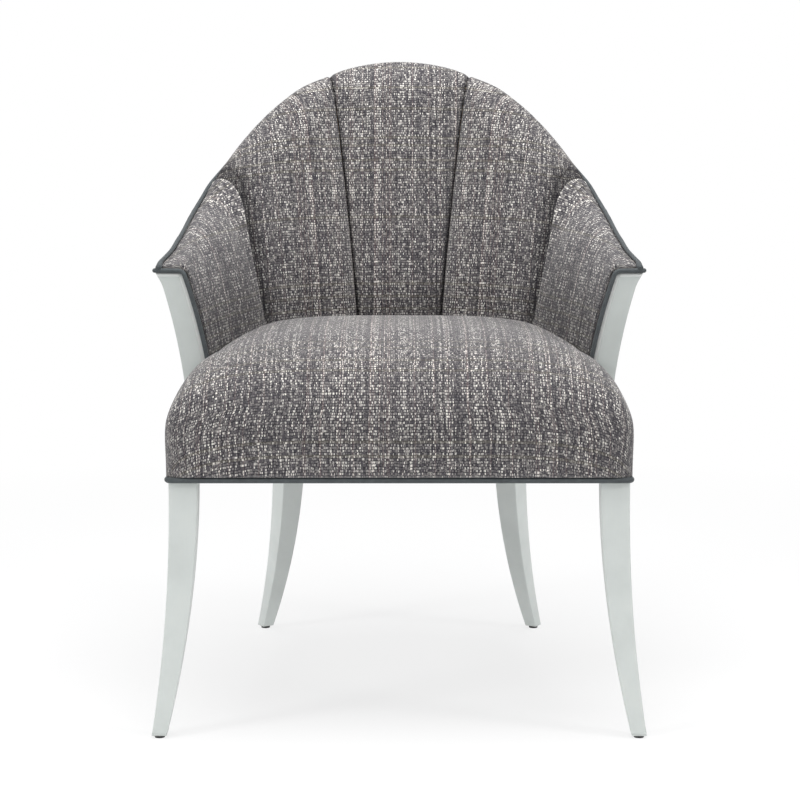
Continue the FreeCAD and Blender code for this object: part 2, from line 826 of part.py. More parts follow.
def seat_section(y, crown, inset, low):
    """Upright section across the seat: straight walls under a crown shaped as a superellipse."""
    face = -seat_front_overhang + inset
    wall = rail_bottom + seat_wall_height
    half = front_half_width + seat_side_overhang - inset - math.tan(taper) * y
    to_corner = seat_corner_radius - (y - face)
    if to_corner > 0:
        half -= seat_corner_radius - math.sqrt(seat_corner_radius ** 2 - to_corner ** 2)
    behind = max((y - seat_crown_setback) / (frame_depth - seat_crown_setback), 0.0)
    half -= seat_rear_draw * behind ** 2
    power = 2 / seat_crown_power
    right = []
    for share in crown_angle_shares:
        angle = share * math.pi / 2
        right.append((half * math.cos(angle) ** power, wall + (crown - wall) * math.sin(angle) ** power))
    left = [(-x, z) for x, z in reversed(right)]
    curve = [at(x, y, z) for x, z in right + [(0.0, crown)] + left]
    return [at(-half, y, low), at(half, y, low)] + curve


def seat_dome(inset, low):
    """The seat before it is cut around the arms: sections from the rolled front to behind the panels."""
    face = -seat_front_overhang + inset
    wall = rail_bottom + seat_wall_height
    top = seat_crown_height - inset
    power = 2 / seat_front_power
    sections = []
    for share in front_angle_shares:
        angle = share * math.pi / 2
        y = seat_crown_setback - (seat_crown_setback - face) * max(math.cos(angle), 0.0) ** power
        sections.append(seat_section(y, wall + (top - wall) * math.sin(angle) ** power, inset, low))
    for share in stations_between(0.0, 1.0, seat_back_run_count)[1:]:
        y = mix(seat_crown_setback, frame_depth, share)
        sections.append(seat_section(y, top - seat_rear_fall * share ** 2, inset, low))
    return loft(sections)


def seat_room(gap, z_low):
    """Room for the seat: all of the front, and behind the posts what lies inside the panels."""
    z_high = seat_crown_height + overrun
    post_inner_y = plan(post_front)[1] - post_thickness * math.sin(taper)
    front_y = post_inner_y - front_welt_radius - seat_to_post_gap - gap
    wide = front_half_width * 2
    front = at_box(-wide, -wide, wide, front_y, rail_bottom - overrun, z_high)
    outlines = []
    bends = (-post_front, -corner_end, -back_length, 0.0, back_length, corner_end, post_front)
    stations = [bends[0]]
    for first, last in zip(bends, bends[1:]):
        stations += stations_between(first, last, seat_room_run_count)[1:]
    for z in stations_between(z_low, z_high, seat_room_run_count):
        points = [place(s, outer(s, z) - thickness(s, z) - seat_to_panel_gap - gap, z) for s in stations]
        ahead_left = FreeCAD.Vector(points[0].x, at(0, front_y - overrun, 0).y, z)
        ahead_right = FreeCAD.Vector(points[-1].x, at(0, front_y - overrun, 0).y, z)
        outlines.append(points + [ahead_right, ahead_left])
    return front.fuse(loft(outlines))


def seat_deck():
    """Height of the webbing's top, on which the seat's foam lies."""
    return rail_top + 2 * web_thickness + 3 * joint_gap


def seat():
    deck = seat_deck()
    hem = rail_bottom + 2 * seat_welt_radius + 2 * joint_gap
    below = rail_bottom - overrun
    outer_shape = seat_dome(0.0, hem).common(seat_room(0.0, deck))
    inner_shape = seat_dome(seat_cloth_thickness, below).common(seat_room(seat_cloth_thickness, below))
    frame_room = plan_region(cloth_gap, -joint_gap, below, rail_top + joint_gap)
    nodes["seat_cover"] = clear_of(outer_shape.cut(inner_shape), [frame_room])
    foam = seat_dome(seat_cloth_thickness + cloth_gap, hem).common(
        seat_room(seat_cloth_thickness + cloth_gap, deck))
    wide = front_half_width * 2
    nodes["seat_foam"] = foam.cut(at_box(-wide, -joint_gap, wide, frame_depth * 2, below, deck))


def plan_region(out, front_y, z_low, z_high):
    """The seat's plan, drawn in by an offset and cut straight at the front."""
    edges = []
    breaks = (0.0, back_length, corner_end)
    for first, last in zip(breaks, breaks[1:]):
        run = [place(s, out, z_low) for s in (first, (first + last) / 2, last)]
        edges.append(Part.Arc(*run).toShape())
    far = place(front_end + overrun, out, z_low)
    edges.append(line(place(corner_end, out, z_low), far))
    axis_front, axis_rear = FreeCAD.Vector(0, far.y, z_low), place(0.0, out, z_low)
    edges.append(line(far, axis_front))
    edges.append(line(axis_front, axis_rear))
    right = Part.Face(Part.Wire(edges)).extrude(FreeCAD.Vector(0, 0, z_high - z_low))
    whole = right.fuse(mirrored(right)).removeSplitter()
    wide = front_half_width * 2
    return whole.cut(at_box(-wide, -wide, wide, front_y, z_low - overrun, z_high + overrun))


def uprights():
    pieces = [nodes["arm_post_right"], nodes["rear_leg_right"], nodes["back_slat_right"],
              nodes["arm_slat_right"]]
    return pieces + [mirrored(piece) for piece in pieces]


def seat_webbing():
    """Straps both ways over the seat rails, notched round the uprights."""
    front_y = front_rail_setback + rail_thickness - web_landing
    low = rail_top + joint_gap
    region = plan_region(web_landing - rail_thickness, front_y, low, low + web_thickness)
    straps = []
    for share in lengthwise_web_shares:
        middle = share * front_half_width
        straps.append(region.common(at_box(middle - web_width / 2, -frame_depth, middle + web_width / 2,
                                           frame_depth * 2, low, low + web_thickness)))
    nodes["seat_webbing_lengthwise"] = Part.makeCompound([clear_of(s, uprights()) for s in straps])
    low += web_thickness + joint_gap
    region = plan_region(web_landing - rail_thickness, front_y, low, low + web_thickness)
    post_rear = plan(post_back)[1]
    places = [mix(front_leg_width, plan(post_front)[1], 0.5)]
    places += [mix(post_rear, plan(0.0)[1] - rail_thickness, share) for share in cross_web_shares]
    straps = [region.common(at_box(-frame_depth, y - web_width / 2, frame_depth, y + web_width / 2, low,
                                   low + web_thickness)) for y in places]
    nodes["seat_webbing_cross"] = Part.makeCompound([clear_of(s, uprights()) for s in straps])


def clear_of(shape, others):
    """What is left of a piece beside its neighbours: its largest solid."""
    for other in others:
        if shape.BoundBox.intersect(other.BoundBox):
            shape = shape.cut(other)
    return max(shape.Solids, key=lambda solid: solid.Volume)


def back_webbing():
    """Upright straps on the inner face of the frame, behind the pads."""
    straps = []
    uprights_at = ((0.0, seam_one_base), (seam_one_top, rear_leg_station), (corner_end, post_back),
                   (corner_end, post_back))
    for (first, last), share in zip(uprights_at, back_web_shares):
        middle = mix(first, last, share)
        outlines = []
        for station in (middle - web_width / 2, middle, middle + web_width / 2):
            high = top_height(station) - top_drop(station) - web_landing
            heights = stations_between(seat_deck(), high, back_web_run_count)
            near, far = [[place(station, outer(station, z) - depth, z) for z in heights]
                         for depth in (rail_thickness + web_gap, rail_thickness + web_gap + web_thickness)]
            outlines.append(near + far[::-1])
        straps.append(loft(outlines))
    nodes["back_webbing"] = Part.makeCompound(straps + [mirrored(strap) for strap in straps])


def seat_welt():
    """Cord along the bottom edge of the covers, right round the seat frame."""
    out = seat_welt_radius + cloth_gap
    z = rail_bottom + seat_welt_radius
    corner = at(front_half_width + out * (1 / math.cos(taper) + math.tan(taper)), -out, z)
    start = at(0, -out, z)
    stations = stations_between(corner_end, back_length, hem_corner_run_count)
    stations += stations_between(back_length, 0.0, hem_back_run_count)[1:]
    around = [place(s, out, z) for s in stations]
    turn = turned_corner(start, corner, around[0], seat_welt_radius * seat_welt_bend_share)
    right = [start] + arc_points(turn[0], turn[1], turn[2], hem_bend_run_count) + around
    left = [FreeCAD.Vector(-p.x, p.y, p.z) for p in right[1:-1]]
    nodes["seat_welt"] = closed_tube(right + left[::-1], seat_welt_radius, FreeCAD.Vector(0, 0, 1))


def rod(start, direction, length, radius, sides):
    """Straight piece of a regular many-sided section."""
    upright = FreeCAD.Vector(0, 1, 0) if abs(direction.z) > abs(direction.x) + abs(direction.y) else (
        FreeCAD.Vector(0, 0, 1))
    return Part.Face(polygon(ring(start, direction, radius, upright, sides))).extrude(direction * length)


def corner_blocks():
    """Blocks glued into the four corners, each with a bolt into its leg."""
    low = rail_bottom + (rail_height - block_height) / 2
    reach = front_leg_width + block_leg
    far = front_half_width
    front = prism([at(far, 0, low), at(far - reach, 0, low), at(far, reach, low)], block_height)
    front = clear_of(front, [nodes["front_rail"], nodes["side_rail_right"], nodes["front_leg_right"]])
    into_leg = FreeCAD.Vector(1, -1, 0).normalize()
    middle = at(far - reach / 2, reach / 2, low + block_height / 2)
    front_bolt = bolt(middle, into_leg, front_block_bolt_length)
    across, along = rear_axes()
    root = place(rear_leg_station, -rear_leg_width - rear_leg_setback - rear_block_depth, low)
    deep = along * (rear_leg_width + rear_block_depth - rail_thickness / 2)
    rear = prism([root - across * block_leg, root + across * block_leg, root + across * block_leg + deep,
                  root - across * block_leg + deep], block_height)
    rear = clear_of(rear, [nodes["back_rail"], nodes["side_rail_right"], nodes["rear_leg_right"]])
    rear_bolt = bolt(root + FreeCAD.Vector(0, 0, block_height / 2), along, rear_block_bolt_length)
    add_pair("front_corner_block", front.cut(front_bolt))
    add_pair("rear_corner_block", rear.cut(rear_bolt))
    drill("front_leg", front_bolt)
    drill("rear_leg", rear_bolt)
    bolts = [front_bolt, rear_bolt]
    nodes["corner_block_bolts"] = Part.makeCompound(bolts + [mirrored(shape) for shape in bolts])


def bolt(seat_point, direction, length):
    """Bolt whose head sits on a face and whose shank runs on from it."""
    shank = rod(seat_point, direction, length, bolt_radius, rod_sides)
    head = rod(seat_point, direction * -1, bolt_head_height, bolt_head_width / math.sqrt(3), bolt_head_sides)
    return head.fuse(shank).removeSplitter()


def drill(name, tool):
    """Bore both of a pair of pieces for a fastener of the right side."""
    add_pair(name, nodes[name + "_right"].cut(tool))


def tenons():
    """Loose tenon across each joint of the seat frame."""
    across = rear_axes()[0]
    front_end_of_side = front_end - front_leg_width / math.cos(taper)
    side_line = (place(front_end_of_side, 0, 0) - place(corner_end, 0, 0)).normalize()
    z = rail_bottom + (rail_height - tenon_height) / 2
    front_joint = at(front_half_width - front_leg_width, front_rail_setback + rail_thickness / 2, z)
    side_joint = place(front_end_of_side, -rail_thickness / 2, z)
    rear_middle = place(rear_leg_station, -rail_thickness / 2, z)
    joints = (("front_rail", "front_leg", front_joint, FreeCAD.Vector(1, 0, 0)),
              ("side_rail", "front_leg", side_joint, side_line),
              ("back_rail", "rear_leg", rear_middle - across * (rear_leg_width / 2), across),
              ("side_rail", "rear_leg", rear_middle + across * (rear_leg_width / 2), across))
    pieces = []
    for rail, leg, middle, axis in joints:
        side = axis.cross(FreeCAD.Vector(0, 0, 1)).normalize() * (tenon_thickness / 2)
        reach = axis * (tenon_length / 2)
        piece = prism([middle - reach - side, middle + reach - side, middle + reach + side,
                       middle - reach + side], tenon_height)
        pieces.append(piece)
        drill(leg, piece)
        if rail in nodes:
            nodes[rail] = nodes[rail].cut(piece).cut(mirrored(piece))
        else:
            drill(rail, piece)
    nodes["rail_tenons"] = Part.makeCompound(pieces + [mirrored(piece) for piece in pieces])


def arm_post_bolts():
    """Two bolts from inside the side rail into the lap of each arm post."""
    middle_station = (post_front + post_back) / 2
    out = (place(middle_station, 1, 0) - place(middle_station, 0, 0)).normalize()
    bolts = []
    for side in (-0.5, 0.5):
        z = rail_bottom + rail_height / 2 + side * bolt_spacing
        length = rail_thickness - post_lap_thickness / 4
        bolts.append(bolt(place(middle_station, -rail_thickness, z), out, length))
    for piece in bolts:
        drill("side_rail", piece)
        drill("arm_post", piece)
    nodes["arm_post_bolts"] = Part.makeCompound(bolts + [mirrored(piece) for piece in bolts])


def dust_cover():
    """Thin cloth under the seat frame, cut out round the legs."""
    low = rail_bottom - joint_gap - dust_cover_thickness
    cover = plan_region(-dust_cover_inset, dust_cover_inset, low, low + dust_cover_thickness)
    across, along = rear_axes()
    gap = dust_cover_leg_gap
    grown = rear_leg_width / 2 + gap
    root = place(rear_leg_station, -rear_leg_width - gap, low - overrun)
    rear_hole = prism([root - across * grown, root + across * grown,
                       root + across * grown + along * rear_leg_width * 2,
                       root - across * grown + along * rear_leg_width * 2], 2 * overrun)
    front_hole = at_box(front_half_width - front_leg_width - gap, -overrun, front_half_width + overrun,
                        front_leg_width + gap, low - overrun, low + overrun)
    for hole in (rear_hole, front_hole):
        cover = cover.cut(hole).cut(mirrored(hole))
    nodes["dust_cover"] = cover


def glides():
    """Round glides nailed under the feet."""
    bend = (rear_leg_bend_height - glide_height) / rear_leg_bend_height
    rear_out = rear_leg_sweep * bend ** 2 - rear_leg_width / 2 - rear_leg_setback
    rear_foot = place(rear_leg_station, rear_out, 0)
    front_foot = at(front_half_width - front_leg_width / 2 + front_leg_side_sweep,
                    -front_leg_forward_sweep + front_foot_width / 2, 0)
    discs, nails = [], []
    for leg, foot in (("front_leg", front_foot), ("rear_leg", rear_foot)):
        corner = FreeCAD.Vector(glide_nail_radius, glide_nail_radius, 0)
        nail = Part.makeBox(2 * glide_nail_radius, 2 * glide_nail_radius, glide_nail_length,
                            foot - corner + FreeCAD.Vector(0, 0, glide_height))
        discs.append(rod(foot, FreeCAD.Vector(0, 0, 1), glide_height, glide_radius, glide_sides))
        nails.append(nail)
        drill(leg, nail)
    nodes["glides"] = Part.makeCompound(discs + [mirrored(disc) for disc in discs])
    nodes["glide_nails"] = Part.makeCompound(nails + [mirrored(nail) for nail in nails])


def build():
    seat_frame()
    add_pair("front_leg", front_leg())
    add_pair("rear_leg", rear_leg())
    top_rails()
    trim_rails()
    slats()
    add_pair("arm_post", arm_post())
    inside_panels()
    outside_covers()
    nodes["outer_welt"] = outer_welt()
    add_pair("arm_front_welt", arm_front_welt())
    seat()
    seat_webbing()
    back_webbing()
    seat_welt()
    corner_blocks()
    tenons()
    arm_post_bolts()
    dust_cover()
    glides()


build()
os.makedirs("parts", exist_ok=True)
for name, shape in nodes.items():
    shape.exportStep("parts/" + name + ".step")
    print(name, len(shape.Solids), round(shape.Volume / 1000), shape.isValid())
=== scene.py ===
"""The barrel lounge chair dressed: channelled fan back, domed seat, welts, painted posts and sabre legs.

Lengths are worked out in millimetres on the shell's own terms (a station along the seat frame's plan line, a
distance out from it, a height) and put into metres when a mesh is made.
"""
import json
import math

import bpy
import numpy as np
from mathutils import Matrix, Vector


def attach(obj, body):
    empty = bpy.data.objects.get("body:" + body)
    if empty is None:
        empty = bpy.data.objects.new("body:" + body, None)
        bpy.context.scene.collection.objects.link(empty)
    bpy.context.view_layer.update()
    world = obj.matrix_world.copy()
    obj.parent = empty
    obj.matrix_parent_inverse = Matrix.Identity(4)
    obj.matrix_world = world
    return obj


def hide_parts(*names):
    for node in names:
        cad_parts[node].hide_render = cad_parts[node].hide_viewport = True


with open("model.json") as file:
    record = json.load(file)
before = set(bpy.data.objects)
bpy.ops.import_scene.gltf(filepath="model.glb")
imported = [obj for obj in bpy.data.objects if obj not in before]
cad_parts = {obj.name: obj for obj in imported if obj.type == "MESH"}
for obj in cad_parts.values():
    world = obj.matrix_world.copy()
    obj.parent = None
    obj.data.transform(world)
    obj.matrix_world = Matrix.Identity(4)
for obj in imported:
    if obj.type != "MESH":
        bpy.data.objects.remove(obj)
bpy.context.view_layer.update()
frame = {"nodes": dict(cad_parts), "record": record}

MM = 0.001

# Shell and frame, as in the part's source
CREST_HEIGHT = 913.0
ARM_TIP_HEIGHT = 631.0
FRONT_HALF_WIDTH = 311.0
FRAME_DEPTH = 605.0
TAPER = math.radians(7.0)
BACK_RADIUS = 355.0
CORNER_RADIUS = 147.9
RAIL_BOTTOM = 350.0
RAIL_TOP = 425.0
CREST_FLARE = 75.0
ARM_FLARE = 46.0
FLARE_BLEND = 530.0
CREST_LEAN = 1.75
ARM_LEAN = 2.1
BASE_THICKNESS = 68.0
TOP_THICKNESS = 47.0
POST_END_THICKNESS = 43.5
THINNING_START = 200.0
POST_SETBACK = 140.9
POST_DEPTH = 40.0
POST_THICKNESS = 36.0
WELT = 3.0
FRONT_WELT = 3.2
SEAT_WELT = 4.0
GAP = 0.3
TIP_DROP = 10.5

# Seams of the five panels: station at the base, station at the top edge
SEAM_ONE = np.array([69.0, 97.0])
SEAM_TWO = np.array([334.0, 270.0])

BACK_CENTRE = FRAME_DEPTH - BACK_RADIUS
SIDE_NORMAL = math.pi / 2 - TAPER
ACROSS = FRONT_HALF_WIDTH * math.cos(TAPER) - CORNER_RADIUS - BACK_CENTRE * math.sin(TAPER)
ALONG = math.sqrt((BACK_RADIUS - CORNER_RADIUS) ** 2 - ACROSS ** 2)
CORNER_CENTRE = (ACROSS * math.cos(TAPER) - ALONG * math.sin(TAPER),
                 BACK_CENTRE + ACROSS * math.sin(TAPER) + ALONG * math.cos(TAPER))
BACK_ARC = math.atan2(CORNER_CENTRE[0], CORNER_CENTRE[1] - BACK_CENTRE)
TANGENT = (CORNER_CENTRE[0] + CORNER_RADIUS * math.cos(TAPER),
           CORNER_CENTRE[1] + CORNER_RADIUS * math.sin(TAPER))
BACK_LENGTH = BACK_RADIUS * BACK_ARC
CORNER_END = BACK_LENGTH + CORNER_RADIUS * (SIDE_NORMAL - BACK_ARC)
POST_FRONT = CORNER_END + TANGENT[1] / math.cos(TAPER) - POST_SETBACK
POST_BACK = POST_FRONT - POST_DEPTH
FRONT_KICK = 20.0
MID_DEPTH = (FRAME_DEPTH + CREST_FLARE + WELT - FRONT_KICK) / 2

# Top edge of the shell: share of the way to the arm tip, share of the drop from crest to tip
TOP_EDGE = np.array([
    (0.0, 1.0), (0.062, 0.988), (0.116, 0.958), (0.155, 0.92), (0.213, 0.862), (0.26, 0.785),
    (0.308, 0.69), (0.352, 0.575), (0.396, 0.455), (0.432, 0.36), (0.468, 0.26),
    (0.505, 0.208), (0.59, 0.168), (0.73, 0.096), (0.86, 0.047), (1.0, 0.0)])


def mix(low, high, share):
    return low + (high - low) * share


def steps_of(count):
    """Even steps from 0 to 1."""
    return np.linspace(0.0, 1.0, count)


def unit(vectors):
    return vectors / np.linalg.norm(vectors, axis=-1, keepdims=True)


def smooth(share):
    share = np.clip(share, 0.0, 1.0)
    return share * share * (3 - 2 * share)


def srgb(red, green, blue):
    """A colour given as 0 to 255 screen values, as the linear values that sockets take."""
    values = np.array([red, green, blue]) / 255
    linear = np.where(values <= 0.04045, values / 12.92, ((values + 0.055) / 1.055) ** 2.4)
    return (*linear.tolist(), 1.0)


def plan(station):
    """Plan line of the seat frame: an arc at the back, a tighter arc at each corner, straight sides.
    Gives x, y and the outward angle, for signed stations."""
    s = np.abs(station)
    on_back = s <= BACK_LENGTH
    on_corner = s <= CORNER_END
    angle = np.where(on_back, s / BACK_RADIUS,
                     np.where(on_corner, BACK_ARC + (s - BACK_LENGTH) / CORNER_RADIUS, SIDE_NORMAL))
    along = np.maximum(s - CORNER_END, 0.0)
    x = np.where(on_back, BACK_RADIUS * np.sin(angle), np.where(
        on_corner, CORNER_CENTRE[0] + CORNER_RADIUS * np.sin(angle), TANGENT[0] + along * math.sin(TAPER)))
    y = np.where(on_back, BACK_CENTRE + BACK_RADIUS * np.cos(angle), np.where(
        on_corner, CORNER_CENTRE[1] + CORNER_RADIUS * np.cos(angle), TANGENT[1] - along * math.cos(TAPER)))
    return x, y, angle


def place(station, out, z):
    """Point at a station, a distance out from the plan line and a height, as rows of x, y, z."""
    station, out, z = np.broadcast_arrays(station, out, z)
    x, y, angle = plan(station)
    side = np.where(station < 0, -1.0, 1.0)
    return np.stack([side * (x + out * np.sin(angle)), y + out * np.cos(angle) - MID_DEPTH, z], -1)


def top_height(station):
    """Height of the top edge: a cubic through the table with the mean slope of the neighbours."""
    share = np.clip(np.abs(station) / POST_FRONT, 0.0, 1.0)
    xs, ys = TOP_EDGE[:, 0], TOP_EDGE[:, 1]
    last = len(xs) - 1
    low, high = np.maximum(np.arange(last + 1) - 1, 0), np.minimum(np.arange(last + 1) + 1, last)
    slopes = (ys[high] - ys[low]) / (xs[high] - xs[low])
    slopes[0] = 0.0
    i = np.clip(np.searchsorted(xs, share, side="right") - 1, 0, last - 1)
    width = xs[i + 1] - xs[i]
    t = (share - xs[i]) / width
    rise = smooth(t)
    drop = ys[i] * (1 - rise) + ys[i + 1] * rise + width * (
        slopes[i] * t * (1 - t) ** 2 - slopes[i + 1] * t * t * (1 - t))
    return mix(ARM_TIP_HEIGHT, CREST_HEIGHT, drop)


def outer(station, z):
    """Lean of the shell's outer face: a power of the height's share, from the crest's to the arm's."""
    blend = smooth(np.abs(station) / FLARE_BLEND)
    share = np.maximum((z - RAIL_BOTTOM) / (top_height(station) - RAIL_BOTTOM), 0.0)
    return mix(CREST_FLARE, ARM_FLARE, blend) * share ** mix(CREST_LEAN, ARM_LEAN, blend)


def onset(distance, start, length):
    """0 up to a distance on either side, 1 a length further on."""
    return smooth((np.abs(distance) - start) / length)


def thickness(station, z):
    """Depth of the shell from its outer face to its inner one."""
    share = np.clip((z - RAIL_TOP) / (top_height(station) - RAIL_TOP), 0.0, 1.0)
    thin = onset(station, THINNING_START, POST_FRONT - THINNING_START)
    return mix(mix(BASE_THICKNESS, TOP_THICKNESS, share), POST_END_THICKNESS, thin)


def toward_arm(station):
    """0 over the crest, 1 along the arms, turning over in a short length at the second seam."""
    return onset(station, 235.0, 75.0)


def toward_post(station):
    """0 until the arm's front part, 1 over the post, where the padding draws tight."""
    return onset(station, 500.0, 90.0)


def toward_tip(station):
    """Millimetres by which the arm's edge draws in from the flare, up to the tip."""
    return 4.2 * onset(station, 470.0, 85.0) + 2.4 * onset(station, POST_FRONT - 30.0, 30.0)


def edge_drop(station):
    """How far the padded edge stands above the welt."""
    return mix(12.0, 4.0, toward_arm(station))


def shelf_drop(station):
    """How far under the top edge the padding rests on the frame."""
    return mix(20.0, TIP_DROP, toward_arm(station))


def make_mesh(name, points, faces, loop_uv=None):
    mesh = bpy.data.meshes.new(name)
    mesh.from_pydata((points * MM).tolist(), [], faces)
    if loop_uv is not None:
        layer = mesh.uv_layers.new(name="weave")
        layer.data.foreach_set("uv", (loop_uv * MM).astype(np.float32).ravel())
    mesh.polygons.foreach_set("use_smooth", np.ones(len(mesh.polygons), dtype=bool))
    mesh.validate()
    mesh.update()
    piece = bpy.data.objects.new(name, mesh)
    bpy.context.scene.collection.objects.link(piece)
    return piece


def grid_faces(rows, columns, wrap_rows, wrap_columns, uv):
    """Four-cornered faces of a grid of points, and the cloth coordinates of their corners."""
    i, j = np.meshgrid(np.arange(rows if wrap_rows else rows - 1),
                       np.arange(columns if wrap_columns else columns - 1), indexing="ij")
    corners = [(0, 0), (0, 1), (1, 1), (1, 0)]
    quads = np.stack([((i + a) % rows) * columns + (j + b) % columns for a, b in corners], -1).reshape(-1, 4)
    loops = None if uv is None else np.stack([uv[i + a, j + b] for a, b in corners], -2).reshape(-1, 2)
    return quads.tolist(), loops


def surface(name, grid, uv=None, wrap_rows=False, wrap_columns=False, caps=False):
    """Mesh of a grid of points, rows by columns. A wrapped way closes on itself, caps close the end rows.
    uv has one more row or column than the grid where that way wraps."""
    rows, columns = grid.shape[:2]
    faces, loops = grid_faces(rows, columns, wrap_rows, wrap_columns, uv)
    if caps:
        faces.append(list(range(columns))[::-1])
        faces.append([(rows - 1) * columns + k for k in range(columns)])
        if uv is not None:
            loops = np.concatenate([loops, uv[0, :columns][::-1], uv[rows - 1, :columns]])
    return make_mesh(name, grid.reshape(-1, 3), faces, loops)


def outward(piece):
    """Turn the faces so that the closed piece holds a positive volume."""
    mesh = piece.data
    mesh.calc_loop_triangles()
    triangles = np.empty(len(mesh.loop_triangles) * 3, dtype=np.int64)
    mesh.loop_triangles.foreach_get("vertices", triangles)
    points = read_points(mesh)[triangles.reshape(-1, 3)]
    volume = np.einsum("ij,ij->i", points[:, 0], np.cross(points[:, 1], points[:, 2])).sum()
    if volume < 0:
        mesh.flip_normals()
    return piece


def read_points(mesh):
    points = np.empty(len(mesh.vertices) * 3, dtype=np.float32)
    mesh.vertices.foreach_get("co", points)
    return points.reshape(-1, 3).astype(np.float64)


SIDES = (("right", False), ("left", True))


def handed(grid, is_left=True):
    """Points as they are on the right, or mirrored for the left."""
    return grid * np.array([-1.0, 1.0, 1.0]) if is_left else grid


def mark(piece, name, values):
    """Keep a number for each point, which a material reads by its name."""
    layer = piece.data.attributes.new(name, "FLOAT", "POINT")
    layer.data.foreach_set("value", values.ravel().astype(np.float32))


def finish_piece(piece, material, slot, *nodes):
    """Give a piece its material, and let it ride in place of the nodes that it stands for. The slot is not
    used.
    """
    outward(piece)
    piece.data.materials.append(material)
    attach(piece, "root")
    if nodes:
        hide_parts(*nodes)
    return piece


# Materials

WHITE = (1.0, 1.0, 1.0, 1.0)


class Nodes:
    """Small helper for the node tree of one material or world."""

    OUTPUTS = {"materials": "OutputMaterial", "worlds": "OutputWorld"}

    def __init__(self, name, kind="materials"):
        self.owner = getattr(bpy.data, kind).new(name)
        self.owner.use_nodes = True
        self.tree = self.owner.node_tree
        self.tree.nodes.clear()
        self.output = self.add(self.OUTPUTS[kind])

    def add(self, kind, inputs=None, **settings):
        """Add a node with its settings. Each input is linked to a socket, or set to a value."""
        node = self.tree.nodes.new("ShaderNode" + kind)
        for key, value in settings.items():
            setattr(node, key, value)
        for key, value in (inputs or {}).items():
            if isinstance(value, bpy.types.NodeSocket):
                self.tree.links.new(value, node.inputs[key])
            else:
                node.inputs[key].default_value = value
        return node

    def finish(self, node):
        """Link a node's result to the output."""
        self.tree.links.new(node.outputs[0], self.output.inputs[0])
        return self.owner

    def object_place(self):
        return self.add("TexCoord").outputs["Object"]

    def weave_place(self):
        return self.add("UVMap", uv_map="weave").outputs[0]

    def marked(self, name):
        """The number that a piece keeps for each point."""
        return self.add("Attribute", attribute_name=name).outputs["Fac"]

    def vector(self, operation, inputs):
        return self.add("VectorMath", inputs, operation=operation).outputs[0]

    def math(self, operation, first, second=0.0, clamp=False):
        return self.add("Math", {0: first, 1: second}, operation=operation,
                        use_clamp=clamp).outputs[0]

    def plus(self, first, second):
        return self.math("ADD", first, second)

    def times(self, first, second, **more):
        return self.math("MULTIPLY", first, second, **more)

    def rest(self, value, **more):
        """What is left of 1."""
        return self.math("SUBTRACT", 1.0, value, **more)

    def scaled(self, vector, scale):
        return self.add("Mapping", {"Vector": vector, "Scale": scale}).outputs[0]

    def noise(self, vector, scale=1.0, detail=2.0, roughness=0.5):
        return self.add("TexNoise", {"Vector": vector, "Scale": scale, "Detail": detail,
                                               "Roughness": roughness}).outputs["Fac"]

    def random(self, first, second, key):
        spot = self.add("CombineXYZ", {0: first, 1: second, 2: key}).outputs[0]
        return self.add("TexWhiteNoise", {"Vector": spot}, noise_dimensions="3D").outputs["Value"]

    def ramp(self, value, *stops):
        """Colour ramp through stops: a position and a screen colour each."""
        node = self.add("ValToRGB", {"Fac": value})
        elements = node.color_ramp.elements
        while len(elements) < len(stops):
            elements.new(0.5)
        for element, (position, tone) in zip(elements, stops):
            element.position = position
            element.color = srgb(*tone)
        return node.outputs["Color"]

    def blend(self, share, first, second):
        return self.add("Mix", {0: share, 6: first, 7: second}, data_type="RGBA").outputs[2]

    def shade(self, colour, roughness, bump, distance, strength, **settings):
        """Principled shader with a bump. Its other inputs come by their names, with _ for a space."""
        values = {"Base_Color": colour, "Roughness": roughness, **settings}
        shader = self.add("BsdfPrincipled", {
            key.replace("_", " "): value for key, value in values.items()})
        node = self.add("Bump", {"Height": bump, "Distance": distance, "Strength": strength})
        self.tree.links.new(node.outputs[0], shader.inputs["Normal"])
        return self.finish(shader)


# Weave: threads and rows in a metre, share of a row that a warp thread lies on top
THREADS = 850.0
ROWS = 255.0
ON_TOP = 0.7


